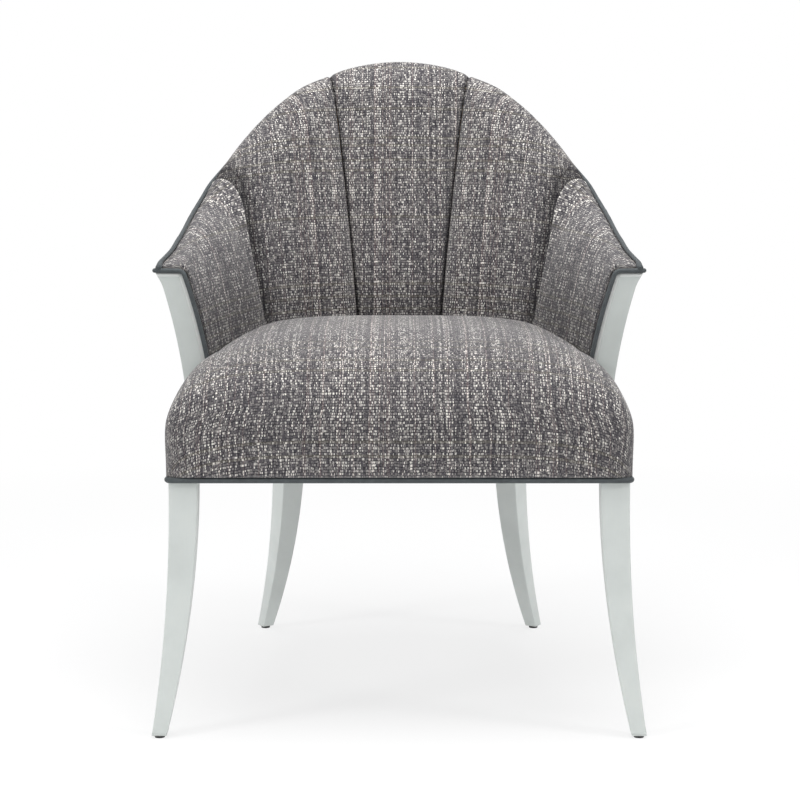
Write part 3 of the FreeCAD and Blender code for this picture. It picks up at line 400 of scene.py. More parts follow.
def tweed():
    """Heathered tweed. Fine warp threads run lengthwise. In each row of the weave a warp thread lies on top
    for most of the row, then the darker weft shows. Each length on top has its own tone, from charcoal to
    cream, some threads and rows are lighter for a stretch, and a few threads are rust or olive."""
    n = Nodes("tweed")
    uv = n.weave_place()
    wobble = n.add("TexNoise", {"Vector": uv, "Scale": 70.0, "Detail": 2.0}).outputs["Color"]
    bent = n.vector("SCALE", {0: n.vector("SUBTRACT", {0: wobble, 1: (0.5, 0.5, 0.5)}), "Scale": 0.0028})
    uv = n.vector("ADD", {0: uv, 1: bent})
    parts = n.add("SeparateXYZ", {0: n.scaled(uv, (THREADS, ROWS, 1.0))})
    u, v = parts.outputs[0], parts.outputs[1]
    thread = n.math("FLOOR", u)
    bias = n.random(thread, 0.0, 7.0)
    shifted = n.plus(v, n.times(bias, 0.3))
    row, phase = n.math("FLOOR", shifted), n.math("FRACT", shifted)
    on_top = n.math("LESS_THAN", phase, ON_TOP)
    weft = n.math("FLOOR", n.plus(v, 0.17))
    weft_bias = n.random(weft, 0.0, 11.0)
    run = n.math("FLOOR", n.plus(n.math("DIVIDE", u, 2.3), n.times(weft_bias, 5.0)))
    streak = n.noise(n.scaled(uv, (260.0, 20.0, 1.0)), 1.0, 2.0, 0.5)
    band = n.noise(n.scaled(uv, (22.0, 150.0, 1.0)), 1.0, 2.0, 0.5)
    slow = n.times(n.math("SUBTRACT", n.plus(streak, band), 1.0), 0.13)
    warp_tone = n.plus(n.times(n.random(thread, row, 3.0), 0.7), n.plus(n.times(bias, 0.36), slow))
    weft_tone = n.plus(n.random(run, weft, 19.0), slow)
    warp_cloth = n.ramp(warp_tone, (0.05, (50, 48, 53)), (0.3, (75, 72, 77)), (0.54, (104, 101, 102)),
                        (0.75, (150, 146, 143)), (0.92, (240, 236, 229)))
    weft_cloth = n.ramp(weft_tone, (0.1, (38, 36, 41)), (0.5, (58, 56, 61)), (0.8, (86, 83, 85)),
                        (1.0, (160, 156, 151)))
    cloth = n.blend(on_top, weft_cloth, warp_cloth)
    for lot, tone in ((bias, srgb(150, 104, 98)), (weft_bias, srgb(140, 134, 100))):
        cloth = n.blend(n.times(n.math("GREATER_THAN", lot, 0.92), 0.12), cloth, tone)
    rib = n.math("ABSOLUTE", n.math("SINE", n.times(u, math.pi)))
    arch = n.math("SINE", n.times(phase, math.pi / ON_TOP))
    # Painted shade in the valleys at each thread's sides.
    valley = n.times(n.math("POWER", n.rest(rib), 2.0), 0.4)
    cloth = n.blend(valley, cloth, srgb(30, 29, 33))
    # Painted shade: the cloth turns darker where the piece marks it, and its sheen fades there.
    seam = n.marked("painted_shade")
    cloth = n.blend(seam, cloth, srgb(22, 21, 24))
    height = n.plus(n.times(on_top, n.plus(n.times(rib, 0.6), arch)), n.times(n.rest(on_top), 0.2))
    sheen = n.times(n.rest(n.times(seam, 1.8), clamp=True), 0.27)
    return n.shade(cloth, 0.92, height, 0.0006, 0.5, Sheen_Weight=sheen, Sheen_Roughness=0.5,
                   Specular_IOR_Level=0.2)


def cord_cloth():
    """Smooth tightly woven cloth round a cord: fine diagonal threads and soft colour change."""
    n = Nodes("welt_cloth")
    uv = n.weave_place()
    turned = n.add("Mapping", {"Vector": uv, "Rotation": (0.0, 0.0, math.radians(45.0)),
                                         "Scale": (1500.0, 1500.0, 1.0)}).outputs[0]
    parts = n.add("SeparateXYZ", {0: turned})
    ribs = n.math("MAXIMUM", *(n.math("ABSOLUTE", n.math("SINE", n.times(parts.outputs[k], math.pi)))
                               for k in (0, 1)))
    patch = n.noise(n.scaled(uv, (90.0, 90.0, 1.0)), 1.0, 3.0, 0.6)
    colour = n.ramp(patch, (0.3, (66, 70, 72)), (0.55, (75, 80, 82)), (0.8, (86, 91, 92)))
    # Painted shade between the diagonal threads.
    colour = n.blend(n.times(n.rest(ribs), 0.35), colour, srgb(44, 46, 48))
    return n.shade(colour, 0.78, ribs, 0.0002, 0.4, Sheen_Weight=0.1, Specular_IOR_Level=0.35)


def paint(name, tone):
    """Satin paint over wood: faint brush lines along the length, slightly warmer worn patches, and a painted
    highlight, edges turned lighter where the piece marks them."""
    n = Nodes(name)
    place_in = n.object_place()
    brush = n.noise(n.scaled(place_in, (900.0, 900.0, 22.0)), 1.0, 3.0, 0.6)
    cloud = n.noise(place_in, 14.0, 4.0, 0.6)
    colour = n.ramp(cloud, (0.3, (tone - 7, tone - 2, tone - 5)), (0.55, (tone, tone + 5, tone + 2)),
                    (0.8, (tone + 5, tone + 9, tone + 5)))
    colour = n.blend(n.times(brush, 0.12), colour, srgb(176, 180, 176))
    # Painted highlight: the marked edges turn lighter.
    edge = n.marked("painted_edge_highlight")
    colour = n.blend(edge, colour, srgb(tone + 32, tone + 34, tone + 31))
    rough = n.plus(n.times(cloud, 0.18), 0.34)
    return n.shade(colour, rough, brush, 0.0002, 0.35, Specular_IOR_Level=0.45)


def plain_finish(name, stretch, detail, grit, stops, roughness, depth, strength, metallic=0.0):
    """Noise stretched along the axes, coloured by a ramp and slightly raised."""
    n = Nodes(name)
    spots = n.noise(n.scaled(n.object_place(), stretch), 1.0, detail, grit)
    return n.shade(n.ramp(spots, *stops), roughness, spots, depth, strength, Metallic=metallic)


# By slot: name, stretch, the noise's detail and roughness, colours, roughness, bump's depth and strength.
# The wood's grain runs along the height, and the dust cloth's fibres are matted.
FINISHES = {
    "frame_wood": ("bare_frame_wood", (160.0, 160.0, 9.0), 4.0, 0.6, (
        (0.3, (158, 122, 82)), (0.6, (196, 163, 118)), (0.8, (210, 180, 137))), 0.62, 0.0003, 0.5),
    "foam": ("cut_foam", (900.0, 900.0, 900.0), 2.0, 0.5, (
        (0.35, (214, 204, 170)), (0.65, (234, 226, 196))), 0.95, 0.0006, 0.5),
    "webbing": ("strap_weave", (700.0, 700.0, 700.0), 1.0, 0.5, (
        (0.35, (120, 102, 76)), (0.65, (168, 148, 115))), 0.9, 0.0005, 0.6),
    "dust_cloth": ("black_bottom_cloth", (420.0, 260.0, 420.0), 4.0, 0.7, (
        (0.35, (22, 22, 23)), (0.7, (48, 48, 50))), 0.93, 0.0004, 0.7),
    "steel": ("zinc_steel", (300.0, 300.0, 300.0), 2.0, 0.5, (
        (0.3, (150, 152, 154)), (0.7, (184, 186, 187))), 0.42, 0.0001, 0.3, 1.0),
    "glide_plastic": ("glide_black", (500.0, 500.0, 500.0), 3.0, 0.6, (
        (0.3, (20, 20, 21)), (0.8, (44, 44, 45))), 0.55, 0.0002, 0.4)}
TWEED, CORD = tweed(), cord_cloth()
# One paint in three tones: the posts' darker copy is painted shade, the rear legs' lighter copy painted
# light.
PAINT, SHADED_POST_PAINT, LIT_REAR_PAINT = (paint("satin_paint", 206), paint("satin_paint_posts_shaded", 195),
                                 paint("satin_paint_rear_lit", 220))
BY_SLOT = {"painted_wood": PAINT, "tweed": TWEED, "welt_cord": CORD}
BY_SLOT.update((slot, plain_finish(*row)) for slot, row in FINISHES.items())

# Panels of the back and arms

# The padding starts this far above the rail.
PAD_FOOT = RAIL_TOP + 5.0
# Draw-in at a seam: depth, width of the shoulder
EVEN_SEAM = (12.0, 44.0)
FAN_SIDE_SEAM = (19.0, 85.0)
ARM_SIDE_SEAM = (4.0, 14.0)
DRAW_POWER = 2.8
CREASE_DEPTH = 6.0
CREASE_WIDTH = 5.5
CREASE_POWER = 1.6
# Share of the crease, and of the roll's height, that its handles and ridge take
HANDLE = 0.55
# How far the arm panel stands proud of the fan, where that begins to fade and over what length
ARM_PROUD = 9.0
PROUD_UNTIL = 40.0
PROUD_FADE = 190.0
# Insets of the frame side from the outer face, on the crest and on the arm or post
CORNER_INSET = (7.0, 3.0)
SHELF_INSET = (24.0, 28.0)
SHELF_FALL = (8.0, 1.0)
REAR_INSET = (32.0, POST_THICKNESS + 2.5)
# Pace of the arm panel's cloth coordinates across
ARM_PACE = 0.49
FACE_ROWS = 84
ROLL_ROWS = 22
EDGE_ROWS = 12
REAR_ROWS = 22
# Roll over the top: its height, then its width, on the crest, along the arm and at the post
ROLL = ((46.0, 52.0, 16.0), (15.0, 12.0, 27.0))
# Width of the fan's side that the arm panel hides in the photograph's view, at some rows
HIDDEN_ROWS = (0, 20, 44, 84, 100, 106)
HIDDEN_WIDTHS = (40.0, 36.0, 31.0, 23.0, 13.0, 8.0)
# Painted shade toward the seat: how much, the height where it starts to fade and the length of the fade
CENTRE_LOW_SHADE = (0.36, 495.0, 130.0)
FAN_LOW_SHADE = (0.27, 495.0, 130.0)
ARM_LOW_SHADE = (0.4, 520.0, 190.0)


def bezier(t, start, first, second, end):
    """Cubic between two ends with two handles."""
    return start * (1 - t) ** 3 + 3 * first * t * (1 - t) ** 2 + 3 * second * t * t * (1 - t) + end * t ** 3


def near(gap, reach):
    """1 at no distance, falling straight to 0 at the reach."""
    return 1 - np.clip(gap / reach, 0.0, 1.0)


def closed(grid):
    return np.concatenate([grid, grid[:, :1]], axis=1)


def arc_lengths(points):
    """Distance along each row of points from its first."""
    steps = np.linalg.norm(np.diff(points, axis=1), axis=-1)
    return np.concatenate([np.zeros((len(points), 1)), np.cumsum(steps, axis=1)], axis=1)


def panel(low_seam, high_seam, draws, columns):
    """Closed padded panel, and the distances of its columns from the seams. Each column of the panel goes up
    the face at an even pace, over the roll as a cubic that leaves the face smoothly, over the edge as a
    quarter ellipse, and down the frame side. Toward each seam the face draws in by a power of its nearness,
    and close to it a steep crease cuts deeper, over the roll as well."""
    front_open = len(draws) == 1
    share = steps_of(columns)
    share = share ** 1.35 if front_open else 0.5 - 0.5 * np.cos(share * math.pi)
    base = mix(low_seam[0], high_seam[0], share)[:, None]
    top = mix(low_seam[1], high_seam[1], share)[:, None]
    width = (abs(high_seam[0] - low_seam[0]) + abs(high_seam[1] - low_seam[1])) / 2
    away = [share * width, (1 - share) * width][:len(draws)]
    loss = sum(depth * near(gap, shoulder) ** DRAW_POWER
               for gap, (depth, shoulder) in zip(away, draws))[:, None]
    crease = CREASE_DEPTH * sum(near(gap, CREASE_WIDTH) ** CREASE_POWER for gap in away)[:, None]
    high, low = top_height(top), PAD_FOOT
    arm, tight = toward_arm(top), toward_post(top)
    roll_height, roll_width = (mix(mix(crest, beside, arm), post, tight) for crest, beside, post in ROLL)
    drop = edge_drop(top)

    z = low + (high - roll_height - low) * steps_of(FACE_ROWS)[None, :]
    station = mix(base, top, (z - low) / (high - low))
    proud = ARM_PROUD * (1 - onset(share * width, PROUD_UNTIL, PROUD_FADE))[:, None] if front_open else 0.0
    face_out = outer(station, z) - thickness(station, z) + loss + crease - proud
    edge = outer(top, high - drop) + 1.5 * tight - toward_tip(top)
    crown = edge - roll_width
    slope = (face_out[:, -1:] - face_out[:, -2:-1]) / (z[:, -1:] - z[:, -2:-1])
    rise, ridge = HANDLE * roll_height, high - HANDLE * crease
    lifted = face_out[:, -1:] + rise * slope
    t = steps_of(ROLL_ROWS + 1)[None, 1:]
    roll_out = bezier(t, face_out[:, -1:], lifted, mix(crown, lifted, HANDLE), crown)
    roll_z = bezier(t, z[:, -1:], z[:, -1:] + rise, ridge, ridge)
    angle = np.linspace(0.0, math.pi / 2, EDGE_ROWS + 1)[None, 1:]
    edge_out = crown + (roll_width - 0.3 * crease) * np.sin(angle)
    edge_z = high - drop + (drop - HANDLE * crease) * np.cos(angle)
    floor = high - shelf_drop(top)
    corner_out = outer(top, floor) - mix(*CORNER_INSET, arm)
    shelf_out = outer(top, floor) - mix(*SHELF_INSET, tight)
    rear_z = mix(floor - mix(*SHELF_FALL, tight), low, steps_of(REAR_ROWS)[None, :])
    rear_station = mix(base, top, (rear_z - low) / (high - low))
    shelf = onset(rear_station, mix(CORNER_END, POST_BACK, 0.75), (POST_BACK - CORNER_END) / 4)
    rear_out = outer(rear_station, rear_z) - mix(*REAR_INSET, shelf)

    outs = np.concatenate([face_out, roll_out, edge_out, corner_out, shelf_out, rear_out], axis=1)
    heights = np.concatenate([z, roll_z, edge_z, floor, floor, rear_z], axis=1)
    tops = np.broadcast_to(top, (columns, EDGE_ROWS + 2))
    roll_station = mix(base, top, np.minimum((roll_z - low) / (ridge - low), 1.0))
    stations = np.concatenate([station, roll_station, tops, rear_station], axis=1)
    return place(stations, outs, heights), away


def panel_weave(grid, from_seam):
    """Cloth coordinates: the distance from column to column, square to them, and the length along each. The
    first starts at the seam for an arm panel, at its own pace, and at the middle column for the others."""
    around = closed(grid)
    along = unit(closed(np.roll(grid, -1, axis=1) - np.roll(grid, 1, axis=1)))
    steps, along = np.diff(around, axis=0), (along[1:] + along[:-1]) / 2
    steps = steps - (steps * along).sum(axis=-1, keepdims=True) * along
    apart = np.cumsum(np.linalg.norm(steps, axis=-1), axis=0)
    across = np.concatenate([np.zeros((1, apart.shape[1])), apart])
    across = across * ARM_PACE if from_seam else across - across[len(grid) // 2]
    return np.stack([across, arc_lengths(around)], -1)


def panel_shade(grid, away, draws, low_shade):
    """Painted shade: darker in the seams, on the fan beside the arm panel, and toward the seat."""
    shade = sum(near(gap, 4.0) ** 1.2 * 0.62 for gap in away)[:, None] * np.ones(grid.shape[1])
    # Painted shade on the fan where the arm panel hides it: darker over the hidden width, darkest in a line
    # at its edge, fading beyond.
    if draws[-1] is FAN_SIDE_SEAM:
        past = away[1][:, None] - np.interp(np.arange(grid.shape[1]), HIDDEN_ROWS, HIDDEN_WIDTHS)
        shade = np.maximum(shade, 0.85 * near(np.abs(past), 5.0))
        shade = np.maximum(shade, 0.55 * near(past, 30.0) ** 1.2)
    # Painted shade toward the seat, fading with height.
    deep, foot, reach = low_shade
    return 1 - (1 - shade) * (1 - deep * (1 - smooth((grid[..., 2] - foot) / reach)))


# Swelling: columns and rows that are held at the seams and the foot, cap on a point's way
HELD_COLUMNS = 6
HELD_ROWS = 4
PANEL_CAP = 2.5
SEAT_CAP = 3.0

HALF_SEAM = 0.4
ARM_END = POST_FRONT - FRONT_WELT - GAP
soft_pieces = []


def add_panel(name, low_seam, high_seam, draws, columns, low_shade, nodes, is_left=False):
    grid, away = panel(low_seam, high_seam, draws, columns)
    piece = surface(name, handed(grid, is_left), panel_weave(grid, len(draws) == 1), wrap_columns=True,
                    caps=True)
    mark(piece, "painted_shade", panel_shade(grid, away, draws, low_shade))
    finish_piece(piece, TWEED, "tweed", *nodes)
    free = np.zeros(grid.shape[:2], dtype=bool)
    free[HELD_COLUMNS:-HELD_COLUMNS, HELD_ROWS:FACE_ROWS + ROLL_ROWS] = True
    soft_pieces.append((piece, free.ravel(), PANEL_CAP))


add_panel("centre_panel", -SEAM_ONE + HALF_SEAM, SEAM_ONE - HALF_SEAM, (EVEN_SEAM, EVEN_SEAM), 81,
          CENTRE_LOW_SHADE, ("inside_cover_centre", "back_pad_centre"))
for side, is_left in SIDES:
    add_panel("fan_panel_" + side, SEAM_ONE + HALF_SEAM, SEAM_TWO - HALF_SEAM, (EVEN_SEAM, FAN_SIDE_SEAM), 91,
              FAN_LOW_SHADE, ("inside_cover_" + side, "back_pad_" + side), is_left)
    add_panel("arm_panel_" + side, SEAM_TWO + HALF_SEAM, np.array([ARM_END, ARM_END]), (ARM_SIDE_SEAM,), 111,
              ARM_LOW_SHADE, ("inside_arm_cover_" + side, "arm_pad_" + side), is_left)

# Covers on the outside. The hem is just over the seat welt.

HEM = RAIL_BOTTOM + 2 * SEAT_WELT + 0.4
TIP_LOW = ARM_TIP_HEIGHT - TIP_DROP + GAP
# Distances out from the shell's outer face: the cloth's outside and its lining, and the bulge
COVER_OUT = 2.8
LINING_OUT = 0.8
BULGE = 1.2
# A cover laps over the post by this much.
LAP = 0.8


def outside_cover(start, end, columns, low=HEM, high=None, rows=60, lid=0.0):
    """Thin skin on the shell's outer face, from the seat welt up to the outer welt unless other heights are
    given, with turned edges. It bulges by a sine over its height times the root of a sine over its length.
    With a lid it also turns inward over the top, that far."""
    stations = np.linspace(start, end, columns)[:, None]
    if high is None:
        high = top_height(stations) - edge_drop(stations) - mix(5.5, 0.0, toward_arm(stations))
    z = mix(low, high, steps_of(rows)[None, :])
    bulge = BULGE * np.sin(np.linspace(0.0, math.pi, rows))[None, :] * np.sin(
        np.linspace(0.0, math.pi, columns))[:, None].clip(0.0) ** 0.5
    skin = place(stations, outer(stations, z) + COVER_OUT + bulge, z)
    lining = place(stations, outer(stations, z) + LINING_OUT, z)[:, ::-1]
    if lid:
        inward, under = steps_of(8)[None, 1:], high - 2.4
        lined = mix(low, under, np.linspace(1.0, 0.0, rows)[None, :])
        lining = np.concatenate([
            place(stations, mix(COVER_OUT, -lid, inward), high), place(stations, -lid, under),
            place(stations, outer(stations, lined) + LINING_OUT, lined)], axis=1)
    grid = np.concatenate([skin, lining], axis=1)
    length = arc_lengths(closed(grid))
    return grid, np.stack([np.broadcast_to(stations, length.shape), length], -1)


def add_cover(name, grid_and_uv, is_left, *nodes):
    grid, uv = grid_and_uv
    piece = surface(name, handed(grid, is_left), uv, wrap_columns=True, caps=True)
    finish_piece(piece, TWEED, "tweed", *nodes)


add_cover("outside_back", outside_cover(HALF_SEAM - SEAM_TWO[1], SEAM_TWO[1] - HALF_SEAM, 90), False,
          "outside_back_cover")
for side, is_left in SIDES:
    add_cover("outside_arm_" + side, outside_cover(SEAM_TWO[1], POST_BACK + LAP, 60), is_left,
              "outside_arm_cover_" + side)
    # Strips of the cover that close the rail in front of the post, and the arm over the post
    add_cover("rail_strip_" + side, outside_cover(
        POST_FRONT - LAP, POST_FRONT + 36.0, 14, high=RAIL_TOP + 3.0, rows=24, lid=25.0), is_left)
    add_cover("arm_end_strip_" + side, outside_cover(
        POST_BACK + LAP, ARM_END, 14, low=TIP_LOW, rows=12), is_left)

# Seat

# Heights: the crown, the top of the upright sides, the deck underneath
SEAT_CROWN = 540.0
SEAT_WALL = 400.0
SEAT_DECK = 428.6
# Depths from the frame's front: the front face, the crown, the middle that the rays run out from
SEAT_FACE = -8.5
SEAT_SETBACK = 235.0
SEAT_MIDDLE = 100.0
SEAT_HALF = FRONT_HALF_WIDTH + 5.2
SEAT_CORNER = 18.0
# Powers of the superellipses along and across the seat
ALONG_POWER = 3.3
ACROSS_POWER = 3.9
# How far the rear of the seat falls and draws in
REAR_FALL = 46.0
REAR_DRAW = 34.0
# Where the arms and back cut the seat: the height of that line, and the radius of the turn down there
CUT_HEIGHT = 500.0
EAR_RADIUS = 16.0
# Share of the way out at which an open ray leaves the dome
OPEN_SHARE = 0.965
RAYS = 360
FREE_COLUMNS = 100


def behind(y):
    """Share of the way from the crown to the back of the frame."""
    return np.clip((y - SEAT_SETBACK) / (FRAME_DEPTH - SEAT_SETBACK), 0.0, None)


def seat_half(y):
    """Half width of the seat: tapered sides, round front corners, drawn in at the rear."""
    half = SEAT_HALF - math.tan(TAPER) * y
    turn = np.clip(SEAT_CORNER - (y - SEAT_FACE), 0.0, SEAT_CORNER)
    half = half - (SEAT_CORNER - np.sqrt(SEAT_CORNER ** 2 - turn ** 2))
    return half - REAR_DRAW * behind(y) ** 2


def seat_height(x, y):
    """Dome: a superellipse across on a superellipse over the front, with a gentle fall to the rear."""
    ahead = np.clip((SEAT_SETBACK - y) / (SEAT_SETBACK - SEAT_FACE), 0.0, 1.0)
    crown = mix(SEAT_WALL, SEAT_CROWN, (1 - ahead ** ALONG_POWER) ** (1 / ALONG_POWER))
    crown = crown - REAR_FALL * behind(y) ** 2
    share = np.clip(np.abs(x) / seat_half(y), 0.0, 1.0)
    return mix(SEAT_WALL, crown, (1 - share ** ACROSS_POWER) ** (1 / ACROSS_POWER))


def seat_weave(x, y):
    """Cloth coordinates of points on the dome: the arc length across it at one depth, and the arc length
    from the crown's line forward or back at one share of its half width."""
    bunched = 1 - (1 - steps_of(61)) ** 3
    runs = []
    share = np.clip(x / seat_half(y), -1.0, 1.0)
    line_y = SEAT_SETBACK + (y[..., None] - SEAT_SETBACK) * bunched
    for line in ((x[..., None] * bunched, np.broadcast_to(y[..., None], y.shape + (61,))),
                 (share[..., None] * seat_half(line_y), line_y)):
        points = np.stack([*line, seat_height(*line)], -1)
        runs.append(np.linalg.norm(np.diff(points, axis=-2), axis=-1).sum(axis=-1))
    return np.stack([np.sign(x) * runs[0], np.sign(y - SEAT_SETBACK) * runs[1]], -1)


def inside_line(z):
    """Plan of the panels' inner faces at a height, from the left post round the back to the right one."""
    stations = np.linspace(-POST_FRONT, POST_FRONT, 241)
    points = place(stations, outer(stations, z) - thickness(stations, z) - 1.0, z)
    return points[:, :2] + np.array([0, MID_DEPTH])


def seat_outline(angles):
    """Distance from the middle point to the seat's edge in each direction, and to the edge that the arms and
    back cut, found by walking outwards in small steps."""
    post_y = plan(POST_FRONT)[1] - POST_THICKNESS * math.sin(TAPER) - 2 * FRONT_WELT - 1.0
    line = inside_line(CUT_HEIGHT)
    steps = np.arange(0.0, 620.0, 0.5)
    x = steps[None, :] * np.sin(angles)[:, None]
    y = SEAT_MIDDLE - steps[None, :] * np.cos(angles)[:, None]
    dome = (y >= SEAT_FACE) & (np.abs(x) <= seat_half(np.clip(y, SEAT_FACE, FRAME_DEPTH)))
    right = line[line[:, 0] > 0]
    from_front = right[np.argsort(right[:, 1])]
    limit = np.interp(y, from_front[:, 1], from_front[:, 0])
    inside = (y <= post_y) | ((np.abs(x) <= limit) & (y <= line[:, 1].max()))
    dome[:, -1] = inside[:, -1] = False
    return steps[np.argmin(dome, axis=1)], steps[np.argmin(inside, axis=1)]


def round_average(values, kernel):
    """Running average of values that go round and meet."""
    reach = len(kernel) // 2
    return np.convolve(np.concatenate([values[-reach:], values, values[:reach]]), kernel, mode="valid")


def seat_cushion():
    """Closed seat. Rays run out from a middle point to the outline. Along each, the columns go over the dome,
    down the side, and back under it to the middle."""
    angles = np.linspace(0.0, 2 * math.pi, RAYS + 1)[:-1]
    edge, cut = seat_outline(angles)
    reach = round_average(np.minimum(edge, cut), np.array([1.0, 2.0, 3.0, 2.0, 1.0]) / 9)
    share = 1 - (1 - steps_of(86)[None, 1:]) ** 2.2
    ray = np.stack([np.sin(angles), -np.cos(angles)], -1)[:, None, :]

    def over(shares):
        flat = np.array([0.0, SEAT_MIDDLE]) + (reach[:, None] * shares)[..., None] * ray
        flat[..., 1] = np.maximum(flat[..., 1], SEAT_FACE)
        return np.concatenate([flat, seat_height(flat[..., 0], flat[..., 1])[..., None]], -1)

    # Cut rays: the dome turns down at the arms and back, and drops straight to the deck
    ear_dome = over(share)
    into_turn = np.clip(EAR_RADIUS - reach[:, None] * (1 - share), 0.0, EAR_RADIUS)
    ear_dome[..., 2] -= EAR_RADIUS - np.sqrt(EAR_RADIUS ** 2 - into_turn ** 2)
    down = steps_of(27)[None, 1:, None]
    ear_foot = ear_dome[:, -1:] * np.array([1, 1, 0]) + np.array([0, 0, SEAT_DECK])
    ear = np.concatenate([ear_dome, mix(ear_dome[:, -1:], ear_foot, down)], axis=1)
    # Open rays: a cubic carries on the dome's slope and meets the hem upright
    open_dome = over(OPEN_SHARE * share)
    slope = unit(open_dome[:, -1:] - open_dome[:, -2:-1])
    foot = over(np.ones((1, 1))) * np.array([1, 1, 0]) + np.array([0, 0, HEM])
    drop = np.linalg.norm(foot - open_dome[:, -1:], axis=-1, keepdims=True)
    side = bezier(down, open_dome[:, -1:], open_dome[:, -1:] + slope * 0.3 * drop,
                  foot + np.array([0, 0, 0.6]) * drop, foot)
    weight = round_average((cut <= edge).astype(float), np.ones(7) / 7)
    skin = mix(np.concatenate([open_dome, side], axis=1), ear, weight[:, None, None])
    dome, rim = skin[:, :share.shape[1]], skin[:, -1]
    under_share = np.linspace(1.0, 0.02, 12)[None, 1:]
    under_xy = np.stack([rim[:, 0:1] * under_share, mix(SEAT_MIDDLE, rim[:, 1:2], under_share)], -1)
    under_z = mix(SEAT_DECK, rim[:, 2:3], np.clip((under_share - 0.8) / 0.2, 0.0, 1.0))
    under = np.concatenate([under_xy, under_z[..., None]], -1)
    grid = np.concatenate([skin, under], axis=1)
    start = np.array([0.0, SEAT_MIDDLE, seat_height(0.0, SEAT_MIDDLE)])
    uv = seat_weave(dome[..., 0], dome[..., 1])
    run = unit((np.roll(rim, -1, axis=0) - np.roll(rim, 1, axis=0))[:, :2])
    normal = np.stack([run[:, 1], -run[:, 0]], -1)
    facing = np.sign((normal * (rim[:, :2] - np.array([0, SEAT_MIDDLE]))).sum(axis=1))
    beyond = arc_lengths(grid[:, dome.shape[1] - 1:])[:, 1:, None] * (normal * facing[:, None])[:, None, :]
    uv = np.concatenate([uv, uv[:, -1:] + beyond], axis=1)
    return grid - np.array([0, MID_DEPTH, 0]), uv, start - np.array([0, MID_DEPTH, 0])


def add_seat():
    grid, uv, start = seat_cushion()
    rays, columns = grid.shape[:2]
    points = np.concatenate([grid.reshape(-1, 3), [start, [start[0], start[1], SEAT_DECK]]])
    faces, loops = grid_faces(rays, columns, True, False, np.concatenate([uv, uv[:1]]))
    ray = np.arange(rays)
    after = (ray + 1) % rays
    crown, floor = len(points) - 2, len(points) - 1
    top_fan = np.stack([np.full(rays, crown), ray * columns, after * columns], -1)
    floor_fan = np.stack([np.full(rays, floor), (after + 1) * columns - 1, (ray + 1) * columns - 1], -1)
    middle_uv = seat_weave(np.zeros(1), np.full(1, start[1] + MID_DEPTH))
    fan_uv = np.stack([np.broadcast_to(middle_uv, (rays, 2)), uv[ray, 0], uv[after, 0]], -2).reshape(-1, 2)
    piece = make_mesh("seat_cushion", points, faces + top_fan.tolist() + floor_fan.tolist(),
                      np.concatenate([loops, fan_uv, np.zeros((rays * 3, 2))]))
    finish_piece(piece, TWEED, "tweed", "seat_cover", "seat_foam")
    free = np.zeros((rays, columns), dtype=bool)
    free[:, :FREE_COLUMNS] = True
    soft_pieces.append((piece, np.concatenate([free.ravel(), [True, False]]), SEAT_CAP))


add_seat()

# Welts


def directions(path, closed):
    before = np.roll(path, 1, axis=0)
    after = np.roll(path, -1, axis=0)
    if not closed:
        before[0] = 2 * path[0] - path[1]
        after[-1] = 2 * path[-1] - path[-2]
    return unit(after - before)


def cord(name, path, radius, upright, closed, node, sides=20):
    """Round cord: a circle carried along a path, square to it, with cloth laid lengthwise. An open cord's
    ends are half balls."""
    along = directions(path, closed)
    radius = np.broadcast_to(radius, len(path)).astype(float)
    if not closed:
        turn = np.linspace(0.15, math.pi / 2, 6)
        dome = (radius[0] * np.cos(turn))[:, None]
        path = np.concatenate([path[0] - dome * along[0], path[1:-1], path[-1] + dome[::-1] * along[-1]])
        along = along[np.concatenate([[0] * 6, np.arange(1, len(along) - 1), [-1] * 6]).astype(int)]
        ends = radius[0] * np.sin(turn)
        radius = np.concatenate([ends, radius[1:-1], ends[::-1]])
    side = unit(np.cross(along, upright))
    other = np.cross(side, along)
    turn = np.linspace(0.0, 2 * math.pi, sides + 1)
    ring = turn[:-1]
    grid = (path[:, None, :] + radius[:, None, None] * (side[:, None, :] * np.sin(ring)[None, :, None]
                                                        + other[:, None, :] * np.cos(ring)[None, :, None]))
    loop = np.concatenate([path, path[:1]]) if closed else path
    length = arc_lengths(loop[None])[0]
    uv = np.stack(np.broadcast_arrays(turn[None, :] * radius.max(), length[:, None]), -1)
    piece = surface(name, grid, uv, wrap_rows=closed, wrap_columns=True, caps=not closed)
    return finish_piece(piece, CORD, "welt_cord", node)


def even(path, spacing):
    """The same line with points an even distance apart."""
    length = arc_lengths(path[None])[0]
    count = max(int(length[-1] / spacing), 2)
    at_lengths = np.linspace(0.0, length[-1], count + 1)
    return np.stack([np.interp(at_lengths, length, path[:, k]) for k in range(3)], -1)


def rounded(points, radius, spacing):
    """Line through corner points with each corner turned on an arc of one radius."""
    line = [points[0]]
    for before, corner, after in zip(points, points[1:], points[2:]):
        back, ahead = unit(before - corner), unit(after - corner)
        half = math.acos(float(np.clip(back @ ahead, -1, 1))) / 2
        trim = radius / math.tan(half)
        t = steps_of(13)[:, None]
        first, last = corner + back * trim, corner + ahead * trim
        line.extend((first * (1 - t) ** 2 + corner * 2 * t * (1 - t) + last * t ** 2))
    line.append(points[-1])
    return even(np.array(line), spacing)


UP = np.array([0.0, 0.0, 1.0])
WELT_SPACING = 3.5

# The outer welt lies along the arms' edges and tucks in behind the crest's.
stations = np.linspace(-POST_FRONT, POST_FRONT, 360)
rim_z = top_height(stations) - edge_drop(stations)
arm, tip = toward_arm(stations), onset(stations, POST_FRONT - 14.0, 14.0)
welt_path = place(stations, outer(stations, rim_z) + mix(1.4, WELT + 2 * GAP, arm) - toward_tip(stations),
                  rim_z + mix(-2.5, WELT, arm) - 2.0 * tip)
welt_path = even(welt_path, WELT_SPACING)
number = np.arange(len(welt_path))
to_end = np.minimum(number, number[::-1]) * WELT_SPACING
cord("crest_welt", welt_path, WELT + 1.3 * (1 - smooth(to_end / 36.0)), UP, False, "outer_welt")

